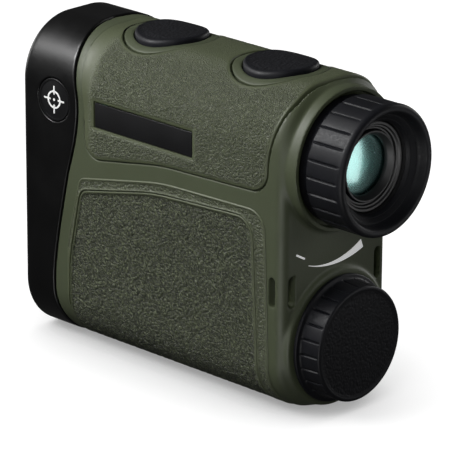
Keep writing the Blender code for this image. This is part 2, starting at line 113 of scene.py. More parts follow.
def down(z):
    """The arc length at which the section's side reaches height z."""
    if z > TOP - TOP_R:
        return S1 + TOP_R * math.acos(min(1, (z - TOP + TOP_R) / TOP_R))
    if z > BOTTOM_R:
        return S2 + TOP - TOP_R - z
    return S3 + BOTTOM_R * math.asin((BOTTOM_R - z) / BOTTOM_R)


def across(y):
    """The signed arc length over the top at which the section is y from the middle, seen in plan."""
    a = np.abs(y)
    return np.sign(y) * np.where(a < F1, a, S1 + TOP_R * np.arcsin(np.clip((a - F1) / TOP_R, 0, 1)))


def corner(a, b, radius):
    """Distance to a corner between sides that are a and b away, rounded by a radius, negative inside."""
    a, b = a + radius, b + radius
    return np.minimum(np.maximum(a, b), 0) + np.hypot(np.maximum(a, 0), np.maximum(b, 0)) - radius


def section_distance(y, z):
    """Signed distance to the section's outline, negative inside."""
    upper = z > TOP / 2
    return corner(np.abs(y) - HALF, np.where(upper, z - TOP, -z), np.where(upper, TOP_R, BOTTOM_R))


# ---------------------------------------------------------------- outlines in the unrolled (x, s) plane

def smooth(points, steps=8):
    """Catmull-Rom through the points."""
    points = np.asarray(points, float)
    p = np.vstack([2 * points[0] - points[1], points, 2 * points[-1] - points[-2]])
    t = np.linspace(0, 1, steps, endpoint=False)[:, None]
    found = [
        0.5 * (2 * b + (c - a) * t + (2 * a - 5 * b + 4 * c - d) * t**2 + (3 * b - a - 3 * c + d) * t**3)
        for a, b, c, d in zip(p, p[1:], p[2:], p[3:])
    ]
    return np.vstack([*found, points[-1:]])


class Outline:
    """Signed distance to a closed outline in the (x, s) plane, negative inside, read from a fine table."""

    STEP = 0.2

    def __init__(self, points):
        points = np.asarray(points, float)
        self.low = np.array([FRONT - 4, -14.0])
        nx, ns = ((np.array([REAR + 6, S_END + 14]) - self.low) / self.STEP).astype(int) + 1
        x = self.low[0] + self.STEP * np.arange(nx)[:, None]
        s = self.low[1] + self.STEP * np.arange(ns)[None, :]
        best = np.full((nx, ns), 1e9)
        crossings = np.zeros((nx, ns), int)
        for (ax, ay), (bx, by) in zip(points, np.roll(points, -1, 0)):
            dx, dy = bx - ax, by - ay
            length = dx * dx + dy * dy
            if length == 0:
                continue
            t = np.clip(((x - ax) * dx + (s - ay) * dy) / length, 0, 1)
            best = np.minimum(best, (x - ax - t * dx) ** 2 + (s - ay - t * dy) ** 2)
            if ay != by:
                crossings += ((ay > s) != (by > s)) & (x < ax + (s - ay) / (by - ay) * dx)
        self.table = np.sqrt(best) * np.where(crossings % 2 == 1, -1, 1)

    def __call__(self, x, s):
        x, s = np.broadcast_arrays(x, np.abs(s))
        i = np.clip((x - self.low[0]) / self.STEP, 0, self.table.shape[0] - 1.001)
        j = np.clip((s - self.low[1]) / self.STEP, 0, self.table.shape[1] - 1.001)
        a, b = i.astype(int), j.astype(int)
        u, v = i - a, j - b
        t = self.table
        low, high = t[a, b] * (1 - u) + t[a + 1, b] * u, t[a, b + 1] * (1 - u) + t[a + 1, b + 1] * u
        return low * (1 - v) + high * v


# The joint between cover and housing: furthest back at four fifths of the height, then forward down to a quarter of it.
SEAM = smooth([(-70.2, 0), (-66.9, down(69)), (-64.9, down(60)), (-65.8, down(51)), (-69, down(39)),
               (-72.9, down(17)), (-71.4, down(2)), (-71.4, S_END)], steps=16)
SEAM_X, SEAM_S = SEAM[:, 0] + REAR, SEAM[:, 1]


def seam_distance(x, s):
    """Distance behind the joint between front cover and housing, negative on the cover's side."""
    a = np.abs(s)
    slope = np.interp(a + 0.4, SEAM_S, SEAM_X) - np.interp(a - 0.4, SEAM_S, SEAM_X)
    return (x - np.interp(a, SEAM_S, SEAM_X)) / np.hypot(1, slope / 0.8)


def rounded(profile, radii, steps=4):
    """The profile with an arc in place of each corner that has a radius."""
    found = []
    for i, (point, radius) in enumerate(zip(profile, radii)):
        if not radius:
            found.append(point)
            continue
        p = Vector(point)
        a = (Vector(profile[i - 1]) - p).normalized()
        b = (Vector(profile[(i + 1) % len(profile)]) - p).normalized()
        half = a.angle(b) / 2
        middle = p + (a + b).normalized() * radius / math.sin(half)
        start = p + a * radius / math.tan(half)
        end = p + b * radius / math.tan(half)
        u, v = start - middle, end - middle
        sweep = u.angle(v)
        for k in range(steps + 1):
            t = k / steps
            spoke = (u * math.sin((1 - t) * sweep) + v * math.sin(t * sweep)) / math.sin(sweep)
            found.append(tuple(middle + spoke))
    return found


def side_outline(beyond, start, corners, end):
    """An outline on the side from (x, z, radius) corners. Its two ends run past the middle, to arc length beyond."""
    points = [(start, beyond), *[(x, down(z)) for x, z, _ in corners], (end, beyond)]
    radii = [0, *[radius for _, _, radius in corners], 0]
    return Outline([(REAR + x, s) for x, s in rounded(points, radii, 6)])


OVER_TOP, UNDER_BOTTOM = -12, S_END + 12
UPPER = side_outline(OVER_TOP, -65.4, [
    (-65.2, 73, 12), (-62.5, 60, 30), (-62, 47.2, 4), (-38, 51.4, 60), (-4.9, 52.6, 5), (-4.7, 60, 15),
    (-1.6, 73.5, 12)], -1.6)
LOWER_OUTER = side_outline(UNDER_BOTTOM, -68.5, [
    (-68.4, 26, 30), (-64.2, 42.2, 2.5), (-38, 47.4, 60), (-5.4, 48.3, 5), (-4, 14, 60)], -4.5)
LOWER_INNER = side_outline(UNDER_BOTTOM, -69, [
    (-67.7, 10, 15), (-67.4, 22, 30), (-63.8, 39.2, 3), (-40, 44.4, 60), (-9.1, 46, 5), (-7.3, 12, 60)], -8.1)


# ---------------------------------------------------------------- a surface cut along outlines

def clip(uv, quads, tris, distance, label, labels):
    """Keeps the part of the surface where distance is negative, cutting faces exactly along its edge."""
    inside = distance < 0
    count = inside[quads].sum(1)
    kept = quads[count == 4]
    mixed = quads[(count > 0) & (count < 4)]
    tris = np.vstack([tris, mixed[:, [0, 1, 2]], mixed[:, [0, 2, 3]]])
    count = inside[tris].sum(1)
    whole = tris[count == 3]

    def turned_first(faces, want):
        spot = np.argmax(inside[faces] == want, 1)
        rows = np.arange(len(faces))
        return np.stack([faces[rows, (spot + k) % 3] for k in range(3)], 1)

    one = turned_first(tris[count == 1], True)
    two = turned_first(tris[count == 2], False)
    crossing = np.vstack([one[:, [0, 1]], one[:, [0, 2]], two[:, [1, 0]], two[:, [2, 0]]])
    key = np.sort(crossing, 1)
    edges, place = np.unique(key, axis=0, return_inverse=True)
    place = place.reshape(-1)
    if len(edges):
        da, db = distance[edges[:, 0]], distance[edges[:, 1]]
        t = (da / (da - db))[:, None]
        uv = np.vstack([uv, uv[edges[:, 0]] * (1 - t) + uv[edges[:, 1]] * t])
        new = len(inside) + place
        labels = np.concatenate([labels, np.full(len(edges), label)])
        n1, n2 = len(one), len(two)
        ab, ac = new[:n1], new[n1:2 * n1]
        ba, ca = new[2 * n1:2 * n1 + n2], new[2 * n1 + n2:]
        whole = np.vstack([whole, np.stack([one[:, 0], ab, ac], 1)])
        kept = np.vstack([kept, np.stack([ba, two[:, 1], two[:, 2], ca], 1)])
    return uv, kept, whole, labels


def boundary_edges(quads, tris):
    """Directed edges that belong to one face only."""
    halves = [quads[:, [i, (i + 1) % 4]] for i in range(4)] + [tris[:, [i, (i + 1) % 3]] for i in range(3)]
    halves = np.vstack(halves).astype(np.int64)
    size = halves.max() + 1
    forward, backward = halves[:, 0] * size + halves[:, 1], halves[:, 1] * size + halves[:, 0]
    return halves[~np.isin(forward, backward)]


def cut_surface(uv, quads, cuts):
    """Cuts a parametric surface along each field, and folds a rim inwards along each cut.

    cuts: (field, rings) where rings are (outward shift, depth) pairs. Returns uv, depth, quads, tris, labels."""
    tris = np.zeros((0, 3), int)
    labels = np.full(len(uv), -1)
    for k, (field, rings) in enumerate(cuts):
        uv, quads, tris, labels = clip(uv, quads, tris, field(uv[:, 0], uv[:, 1]), k, labels)
    used = np.unique(np.concatenate([quads.ravel(), tris.ravel()]))
    renumber = np.full(len(uv), -1)
    renumber[used] = np.arange(len(used))
    uv, labels, quads, tris = uv[used], labels[used], renumber[quads], renumber[tris]
    depth = np.zeros(len(uv))
    edges = boundary_edges(quads, tris)
    for k, (field, rings) in enumerate(cuts):
        mine = edges[(labels[edges] == k).all(1)]
        if not len(mine) or not rings:
            continue
        points = np.unique(mine)
        base = uv[points]
        h = 0.05
        gu = field(base[:, 0] + h, base[:, 1]) - field(base[:, 0] - h, base[:, 1])
        gv = field(base[:, 0], base[:, 1] + h) - field(base[:, 0], base[:, 1] - h)
        away = np.stack([gu, gv], 1) / np.maximum(np.hypot(gu, gv), 1e-9)[:, None]
        lookup = np.full(len(uv) + len(points) * (len(rings) + 1), -1)
        lookup[points] = np.arange(len(points))
        here = points
        for shift, sink in rings:
            fresh = len(uv) + np.arange(len(points))
            uv = np.vstack([uv, base + away * shift])
            depth = np.concatenate([depth, np.full(len(points), sink)])
            labels = np.concatenate([labels, np.full(len(points), -2)])
            a, b = lookup[mine[:, 0]], lookup[mine[:, 1]]
            quads = np.vstack([quads, np.stack([here[b], here[a], fresh[a], fresh[b]], 1)])
            here = fresh
    return uv, depth, quads, tris, labels


def rounded_rim(radius, depth, steps=3, under=0.0):
    """Rings for an edge of that radius that then drops to a depth, and perhaps runs on under its neighbour."""
    angles = [math.pi / 2 * (i + 1) / steps for i in range(steps)]
    rings = [(radius * math.sin(a), radius * (1 - math.cos(a))) for a in angles] + [(radius, depth)]
    return rings + ([(radius + under, depth)] if under else [])


def grid(us, vs, loop=False):
    """A rectangular sheet of (u, v) points and its quads. A looped one joins its last column to its first."""
    nu, nv = len(us), len(vs)
    uv = np.stack(np.meshgrid(us, vs, indexing="ij"), -1).reshape(-1, 2)
    i, j = np.meshgrid(np.arange(nu - 1), np.arange(nv if loop else nv - 1), indexing="ij")
    a, b = (i * nv + j).ravel(), (i * nv + (j + 1) % nv).ravel()
    return uv, np.stack([a, a + nv, b + nv, b], 1)


def bands(first, count, rings, flip=False):
    """Quads between rings of count points each, the first of which starts at point number first."""
    order = (0, 3, 2, 1) if flip else (0, 1, 2, 3)
    quads = []
    for k in range(rings - 1):
        a = first + count * k + np.arange(count)
        b = first + count * k + (np.arange(count) + 1) % count
        quads += np.stack([a, b, b + count, a + count], 1)[:, order].tolist()
    return quads


def make_object(name, points, faces, smooth_angle=40):
    """A mesh object from millimetre points and faces of any mix of sizes."""
    mesh = bpy.data.meshes.new(name)
    mesh.from_pydata((np.asarray(points, float) * MM).tolist(), [], [list(map(int, f)) for f in faces])
    mesh.validate()
    mesh.shade_smooth()
    if smooth_angle:
        mesh.set_sharp_from_angle(angle=math.radians(smooth_angle))
    obj = bpy.data.objects.new(name, mesh)
    bpy.context.scene.collection.objects.link(obj)
    return obj


def tidy(obj, distance=1e-6, outward=False):
    shape = bmesh.new()
    shape.from_mesh(obj.data)
    bmesh.ops.remove_doubles(shape, verts=shape.verts, dist=distance)
    if outward:
        bmesh.ops.recalc_face_normals(shape, faces=shape.faces)
    shape.to_mesh(obj.data)
    shape.free()


def edge_inset(x):
    """How far the section has drawn in at x, where the front and rear edges are rounded."""
    front = np.clip(FRONT_EDGE - (x - FRONT), 0, FRONT_EDGE)
    rear = np.clip(REAR_EDGE - (REAR - x), 0, REAR_EDGE)
    return (FRONT_EDGE - np.sqrt(FRONT_EDGE**2 - front**2)) + (REAR_EDGE - np.sqrt(REAR_EDGE**2 - rear**2))


def on_body(uv, depth):
    """Body surface points at (x, s), sunk by a depth."""
    y, z, ny, nz = section(uv[:, 1])
    sink = edge_inset(uv[:, 0]) + depth
    return np.stack([uv[:, 0], y - ny * sink, z - nz * sink], 1)


def s_steps(cell, low=-S_END, high=S_END):
    return np.linspace(low, high, int(round((high - low) / cell)) + 1)


# ---------------------------------------------------------------- solids from a distance field

def round_max(a, b, radius):
    """Intersection of two fields with a rounded edge."""
    return np.minimum(np.maximum(a, b), -radius) + np.hypot(np.maximum(a + radius, 0), np.maximum(b + radius, 0))


def round_min(a, b, radius):
    """Union of two fields with a fillet."""
    return np.maximum(np.minimum(a, b), radius) - np.hypot(np.maximum(radius - a, 0), np.maximum(radius - b, 0))


def gradient(field, p, h=0.03):
    found = []
    for axis in range(3):
        step = np.zeros(3)
        step[axis] = h
        a, b = p + step, p - step
        found.append((field(a[:, 0], a[:, 1], a[:, 2]) - field(b[:, 0], b[:, 1], b[:, 2])) / (2 * h))
    return np.stack(found, 1)


def mesh_field(field, low, high, cell):
    """Surface nets: quads around the zero of a distance field, relaxed and drawn back onto it."""
    low, high = np.array(low, float), np.array(high, float)
    count = np.ceil((high - low) / cell).astype(int) + 1
    axes = [low[a] + cell * np.arange(count[a]) for a in range(3)]
    value = field(axes[0][:, None, None], axes[1][None, :, None], axes[2][None, None, :])
    value = np.broadcast_to(value, tuple(count))
    solid = value < 0
    corners = sum(
        solid[i:count[0] - 1 + i, j:count[1] - 1 + j, k:count[2] - 1 + k].astype(np.int8)
        for i in (0, 1) for j in (0, 1) for k in (0, 1)
    )
    active = (corners > 0) & (corners < 8)
    number = np.full(active.shape, -1)
    number[active] = np.arange(active.sum())
    cell_at = np.stack(np.nonzero(active), 1)
    total, hits = np.zeros((len(cell_at), 3)), np.zeros(len(cell_at))
    for axis in range(3):
        others = [a for a in range(3) if a != axis]
        for i in (0, 1):
            for j in (0, 1):
                start = np.zeros(3, int)
                start[others[0]], start[others[1]] = i, j
                end = start.copy()
                end[axis] = 1
                fa, fb = value[tuple((cell_at + start).T)], value[tuple((cell_at + end).T)]
                crossing = (fa < 0) != (fb < 0)
                t = np.where(crossing, fa / np.where(crossing, fa - fb, 1), 0)
                total += np.where(crossing[:, None], start + t[:, None] * (end - start), 0)
                hits += crossing
    points = low + cell * (cell_at + total / hits[:, None])
    quads = []
    for axis in range(3):
        b, c = (axis + 1) % 3, (axis + 2) % 3
        first = [slice(None)] * 3
        second = [slice(None)] * 3
        first[axis], second[axis] = slice(0, -1), slice(1, None)
        change = solid[tuple(first)] != solid[tuple(second)]
        at = np.stack(np.nonzero(change), 1)
        at = at[(at[:, b] > 0) & (at[:, c] > 0) & (at[:, b] < count[b] - 1) & (at[:, c] < count[c] - 1)]
        ring = []
        for db, dc in ((-1, -1), (0, -1), (0, 0), (-1, 0)):
            spot = at.copy()
            spot[:, b] += db
            spot[:, c] += dc
            ring.append(number[tuple(spot.T)])
        ring = np.stack(ring, 1)
        flip = ~solid[tuple(at.T)]
        ring[flip] = ring[flip][:, ::-1]
        quads.append(ring)
    quads = np.vstack(quads)
    links = np.vstack([quads[:, [i, (i + 1) % 4]] for i in range(4)])
    degree = np.bincount(links[:, 0], minlength=len(points)) + np.bincount(links[:, 1], minlength=len(points))
    for turn in range(4):
        if turn < 2:
            mean = np.zeros_like(points)
            np.add.at(mean, links[:, 0], points[links[:, 1]])
            np.add.at(mean, links[:, 1], points[links[:, 0]])
            points = 0.5 * points + 0.5 * mean / np.maximum(degree, 1)[:, None]
        for _ in range(2):
            slope = gradient(field, points)
            f = field(points[:, 0], points[:, 1], points[:, 2])
            step = -f / np.maximum((slope**2).sum(1), 0.2)
            points = points + slope * np.clip(step, -0.4 * cell, 0.4 * cell)[:, None]
    return points, quads


# ---------------------------------------------------------------- grain

def cells(u, v, size, seed, stretch=1.0, turn=0.0):
    """Rounded pebbles, 1 on their crowns and 0 between them, from jittered points about size apart."""
    c, s = math.cos(turn), math.sin(turn)
    a, b = (u * c + v * s) / size / stretch, (-u * s + v * c) / size
    table = np.random.RandomState(seed).rand(64, 64, 3)
    i, j = np.floor(a).astype(int), np.floor(b).astype(int)
    best, second = np.full(a.shape, 9.0), np.full(a.shape, 9.0)
    for di in (-1, 0, 1):
        for dj in (-1, 0, 1):
            t = table[(i + di) % 64, (j + dj) % 64]
            d = np.hypot(i + di + 0.1 + 0.8 * t[..., 0] - a, j + dj + 0.1 + 0.8 * t[..., 1] - b)
            second = np.minimum(second, np.maximum(best, d))
            best = np.minimum(best, d)
    ridge = np.clip((second - best) / 0.45, 0, 1)
    return ridge * ridge * (3 - 2 * ridge) * (1 - 0.35 * best)


def ease(t):
    t = np.clip(t, 0, 1)
    return t * t * (3 - 2 * t)


def add_mask(obj, name, values):
    attribute = obj.data.attributes.new(name, "FLOAT", "POINT")
    attribute.data.foreach_set("value", np.asarray(values, np.float32))


# ---------------------------------------------------------------- casing pieces

def circle_field(x, z, radius):
    """A round hole in the body's side: positive inside the hole and negative around it."""
    s = down(z)
    return lambda u, v: radius - np.hypot(u - x, np.abs(v) - s)


def box_field(x, z, half_x, half_z, radius):
    """The same for a rounded rectangle."""
    s = down(z)
    return lambda u, v: -corner(np.abs(u - x) - half_x, np.abs(np.abs(v) - s) - half_z, radius)


def button_field(x, radius):
    """The same for a round hole in the top, measured in plan. Far below the top it stays negative."""
    return lambda u, v: radius - np.hypot(u - x, section(v)[0]) + np.where(np.abs(v) > S2, -20.0, 0)


def shifted(field, amount):
    return lambda u, v: field(u, v) + amount


def rows(start, end, cell):
    return np.linspace(start, end, max(2, int(round((end - start) / cell)) + 1))


def make_cover():
    rim = 0.4
    front = FRONT + FRONT_EDGE * (1 - np.cos(np.linspace(0, math.pi / 2, 10)))
    us = np.concatenate([front[:-1], rows(FRONT + FRONT_EDGE, REAR - 62, 0.6)])
    vs = s_steps(0.55)[:-1]
    uv, quads = grid(us, vs, loop=True)
    badge = circle_field(*BADGE, 5.25)
    cuts = [
        (shifted(seam_distance, rim), rounded_rim(rim, 1.6, steps=4)),
        (shifted(badge, 0.25), rounded_rim(0.25, 0.75, steps=3, under=0.3)),
    ]
    uv, depth, quads, tris, _ = cut_surface(uv, quads, cuts)
    points = on_body(uv, depth)
    faces = [*quads, *tris]
    # The two openings flare towards the front face, which is the flat left between them and the outer edge.
    count = 128
    flat = [np.arange(len(vs))]
    for z, radius in ((OPTIC_Z, 11.2), (EMITTER_Z, 8.2)):
        profile = [(0.0, radius + 0.9), (0.15, radius + 0.45), (0.5, radius + 0.12), (0.9, radius), (2.0, radius)]
        first = len(points)
        for back, r in profile:
            points = np.vstack([points, np.insert(circle(r, count, z=z), 0, FRONT + back, axis=1)])
        faces += bands(first, count, len(profile))
        flat.append(first + np.arange(count)[::-1])
    loops = [[Vector((*points[i][1:], 0)) for i in loop] for loop in flat]
    flat = np.concatenate(flat)
    faces += [[flat[i] for i in triangle] for triangle in tessellate_polygon(loops)]
    obj = make_object("front_cover_shell", points, faces)
    tidy(obj, outward=True)
    return obj


def rear_field(x, y, z):
    """The housing behind the split: rounded rear edges, both bosses, bores, strap slots and armour seats."""
    skin = section_distance(y, z)
    eye = np.hypot(y, z - OPTIC_Z)
    cell = np.hypot(y, z - BATTERY_Z)
    f = round_max(skin + BAND_INSET, x - REAR, REAR_EDGE)
    # The armour's seats, sunk into the rounded block.
    seats = np.minimum(UPPER(x, around(y, z)) - 0.3, LOWER_OUTER(x, around(y, z)) + 1.0)
    f = np.maximum(f, -np.maximum(seats, -SEAT_DEPTH - round_max(skin, x - REAR, REAR_EDGE)))
    # The eyepiece's boss with a wider ring round it, and the cap's boss, kept within the section.
    f = round_min(f, round_max(eye - 15.9, x - REAR - 2.9, 0.5), 1.7)
    f = round_min(f, round_max(eye - 16.5, np.abs(x - REAR - 1.2) - 1.75, 0.3), 0.2)
    f = round_min(f, round_max(cell - 16.0, x - REAR - 0.8, 0.6), 0.9)
    f = np.maximum(f, skin)
    # The recess behind the eyecup, the eyepiece's bore, the room for the rear button's stem, and the battery's bore.
    f = round_max(f, -np.maximum(eye - 15.45, REAR + 1.0 - x), 0.3)
    f = round_max(f, 12.6 - eye, 0.4)
    f = np.maximum(f, -np.maximum(eye - 14.2, x - REAR + 4.0))
    f = round_max(f, 12.8 - cell, 0.4)
    # The strap slots: one through the rear wall and one through the side at each corner, with a post between.
    a, height = np.abs(y), np.abs(z - SLOT_Z)
    rear_slot = np.maximum(corner(np.abs(a - REAR_SLOT_Y) - 1.1, height - 3.65, 1.05), REAR - 4.2 - x)
    side_slot = np.maximum(corner(np.abs(x - SIDE_SLOT_X) - 0.82, height - 3.45, 0.8), 12.6 - a)
    return round_max(f, -np.minimum(rear_slot, side_slot), 0.25)


def make_housing():
    rim = 0.35
    us = rows(REAR - 76, SPLIT, 0.6)
    uv, quads = grid(us, s_steps(0.55)[:-1], loop=True)
    cuts = [
        (lambda u, v: 0.35 + rim - seam_distance(u, v), rounded_rim(rim, 1.6, steps=3, under=-1.0)),
        (lambda u, v: 0.3 + 0.25 - UPPER(u, v), rounded_rim(0.25, SEAT_DEPTH, steps=3, under=1.0)),
        (lambda u, v: -1.0 - LOWER_OUTER(u, v), []),
    ]
    uv, depth, quads, tris, labels = cut_surface(uv, quads, cuts)
    flush = front_blend(uv[:, 0], uv[:, 1]) * (labels == -2) * (seam_distance(uv[:, 0], uv[:, 1]) > 1.2)
    points = on_body(uv, depth * (1 - flush) + 0.07 * flush + BAND_INSET)
    faces = [*quads, *tris]
    net, net_quads = mesh_field(rear_field, (SPLIT - 1.5, -HALF - 1, -1), (REAR + 4, HALF + 1, TOP + 1), 0.36)
    shape = bmesh.new()
    mesh = bpy.data.meshes.new("rear")
    mesh.from_pydata(net.tolist(), [], net_quads.tolist())
    shape.from_mesh(mesh)
    everything = shape.verts[:] + shape.edges[:] + shape.faces[:]
    bmesh.ops.bisect_plane(shape, geom=everything, plane_co=(SPLIT, 0, 0), plane_no=(-1, 0, 0), clear_outer=True)
    shape.to_mesh(mesh)
    shape.free()
    offset = len(points)
    points = np.vstack([points, [v.co[:] for v in mesh.vertices]])
    faces += [[offset + i for i in p.vertices] for p in mesh.polygons]
    bpy.data.meshes.remove(mesh)
    # The smooth annulus round each button, level with the band, as (radius, depth) from its well to its seat.
    profile = [
        *[(BUTTON_R + out, sink) for out, sink in ((0.3, 2.4), (0.3, 0.5), (0.4, 0.3), (0.65, 0.2))],
        *[(r, 0.18) for r in np.linspace(BUTTON_R + 1.0, 10.6, 5)],
        (10.85, 0.26), (10.95, 0.45), (10.95, 1.2), (11.9, 1.2)]
    count = 120
    for x in BUTTONS.values():
        faces += bands(len(points), count, len(profile), flip=True)
        for r, sink in profile:
            u, y = circle(r, count, x).T
            points = np.vstack([points, on_body(np.stack([u, across(y)], 1), np.full(count, sink))])
    return make_object("housing_shell", points, faces)


def front_blend(u, v):
    """1 where the upper armour's front edge runs out level with the band behind the seam, fading to 0."""
    return ease((REAR - 58.5 - u) / 2.5) * ease((down(53.5) - np.abs(v)) / 3.5)


def make_upper_armour():
    rim = 0.3
    us = rows(REAR - 67, REAR - 0.8, 0.42)
    uv, quads = grid(us, s_steps(0.42, -42, 42))
    holes = [button_field(x, 11.3) for x in BUTTONS.values()]
    plate = box_field(REAR - 43.4, 58.6, 15.75, 3.2, 0.15)
    cuts = [
        *[(shifted(field, rim), rounded_rim(rim, 1.0, steps=3)) for field in (UPPER, *holes)],
        (shifted(plate, 0.15), rounded_rim(0.15, 0.6, steps=2, under=0.4)),
    ]
    uv, depth, quads, tris, labels = cut_surface(uv, quads, cuts)
    u, v = uv[:, 0], uv[:, 1]
    a = np.abs(v)
    # The grain fades out towards every edge, towards the front, and to a quarter along the top.
    near = -np.maximum.reduce([field(u, v) for field in (UPPER, *holes, plate)])
    ahead = ease(1 - (u - (REAR - 63.4)) / 4.0)
    fade = ease((near - 0.25) / 0.9) * (1 - ahead * ease((S2 + 9 - a) / 6)) * ease((u - (REAR - 62.6)) / 4.5)
    fade = fade * (1 - 0.75 * ease((14.0 - a) / 9))
    grain = wrinkles(u, v, 0.66, 3)
    flush = front_blend(u, v)
    depth = np.where(labels == -2, depth * (1 - flush) + 0.02 * flush, depth)
    sink = depth + BAND_INSET * (flush * ahead) + 0.15 * (1 - grain) * fade
    obj = make_object("upper_armour_skin", on_body(uv, sink), [*quads, *tris])
    add_mask(obj, "grain", fade)
    add_mask(obj, "crown", grain)
    return obj


def wrinkles(u, v, size, seed):
    """Leather folds that lean down and back on both sides, from two overlaid layers of long pebbles."""
    a = np.abs(v)
    long = cells(u, a, size, seed, stretch=2.3, turn=0.72)
    short = cells(u, a, size * 0.8, seed + 1, stretch=1.4, turn=1.1)
    return 0.65 * long + 0.35 * short


def make_lower_armour():
    """The grip: a finely textured border, a groove, and a deeply wrinkled field inside it."""
    reach = S_END - down(50)

    def unroll(v):
        return np.where(v < 0, -1.0, 1.0) * (S_END - np.abs(v))

    def unrolled(field):
        return lambda u, v: field(u, unroll(v))

    def sheet(cell, *cuts):
        """A sheet that is laid out from the middle of the bottom, cut, and turned back to arc lengths."""
        uv, quads = grid(rows(REAR - 70, REAR - 3, cell), np.linspace(-reach, reach, int(2 * reach / cell) + 1))
        uv, depth, quads, tris, _ = cut_surface(uv, quads, [(unrolled(field), rings) for field, rings in cuts])
        uv[:, 1] = unroll(uv[:, 1])
        return uv, depth, [*quads, *tris]

    groove = 0.13
    edge_rim, lip = 0.45, 0.22
    uv, depth, faces = sheet(
        0.5, (shifted(LOWER_OUTER, edge_rim), rounded_rim(edge_rim, 0.9, steps=4)),
        (lambda u, v: groove + 0.15 - LOWER_INNER(u, v), rounded_rim(0.15, 0.55, steps=2, under=0.1)))
    u, v = uv[:, 0], uv[:, 1]
    fine = cells(u, v, 0.8, 12)
    rough = ease((LOWER_INNER(u, v) - 0.3) / 0.4) * ease((-LOWER_OUTER(u, v) - 0.3) / 0.5)
    points = on_body(uv, depth + 0.09 * rough * (1 - fine))
    marks = 0.5 * rough
    uv, depth, inner_faces = sheet(
        0.37, (shifted(LOWER_INNER, groove + lip), rounded_rim(lip, 0.55, steps=3, under=0.1)))
    u, v = uv[:, 0], uv[:, 1]
    inside = ease((-LOWER_INNER(u, v) - 0.5) / 0.6)
    folds = wrinkles(u, v, 0.74, 11)
    points = np.vstack([points, on_body(uv, depth + 0.06 + 0.24 * inside * (1 - folds) - 0.03 * inside)])
    faces += [[i + len(marks) for i in face] for face in inner_faces]
    obj = make_object("lower_armour_skin", points, faces)
    add_mask(obj, "grain", np.concatenate([marks, inside]))
    add_mask(obj, "crown", np.concatenate([fine, folds]))
    return obj


# ---------------------------------------------------------------- turned pieces

def lathe(name, profile, z, angles=120, wobble=None, smooth_angle=40):
    """A ring or disc about a lengthwise axis at height z, from (x, r) points. r of 0 closes it with a fan."""
    turn = np.linspace(0, 2 * math.pi, angles, endpoint=False) if np.isscalar(angles) else np.asarray(angles)
    points, faces, ring_of = [], [], []
    for x, r in profile:
        if r <= 0:
            ring_of.append(np.full(len(turn), len(points)))
            points.append((x, 0, z))
            continue
        ring = r + (wobble(x, r, turn) if wobble else 0)
        first = len(points)
        points += list(zip(np.full(len(turn), x), ring * np.sin(turn), z + ring * np.cos(turn)))
        ring_of.append(first + np.arange(len(turn)))
    closed = profile[0][1] > 0 and profile[-1][1] > 0
    pairs = list(zip(ring_of, ring_of[1:])) + ([(ring_of[-1], ring_of[0])] if closed else [])
    for low, high in pairs:
        a, b = low, np.roll(low, -1)
        c, d = high, np.roll(high, -1)
        for corner in zip(a, b, d, c):
            face = list(dict.fromkeys(corner))
            if len(face) > 2:
                faces.append(face)
    obj = make_object(name, points, faces, None)
    tidy(obj, outward=True)
    obj.data.shade_smooth()
    obj.data.set_sharp_from_angle(angle=math.radians(smooth_angle))
    return obj


def rib_angles(count, fractions=(-.13, -.1, -.075, -.05, -.025, 0, .025, .05, .075, .1, .13, .3, .5, .7)):
    pitch = 2 * math.pi / count
    return np.concatenate([(k + np.array(fractions)) * pitch for k in range(count)]) % (2 * math.pi)


def ribs(count, start, end, groove, tilt, limit, ease_in=0.8, ease_out=1.2):
    """Flat ribs with narrow grooves between, each rib a little higher on one side, fading at both ends."""
    def wobble(x, r, turn):
        if r < limit:
            return 0 * turn
        phase = (turn * count / (2 * math.pi)) % 1.0
        near = np.minimum(phase, 1 - phase)
        fade = ease((x - start) / ease_in) * ease((end - x) / ease_out)
        return -fade * (groove * np.exp(-(near / 0.055) ** 2) + tilt * (1 - phase))
    return wobble


def filled(low, high, count):
    return [tuple(np.array(low) + (np.array(high) - np.array(low)) * k / count) for k in range(1, count)]


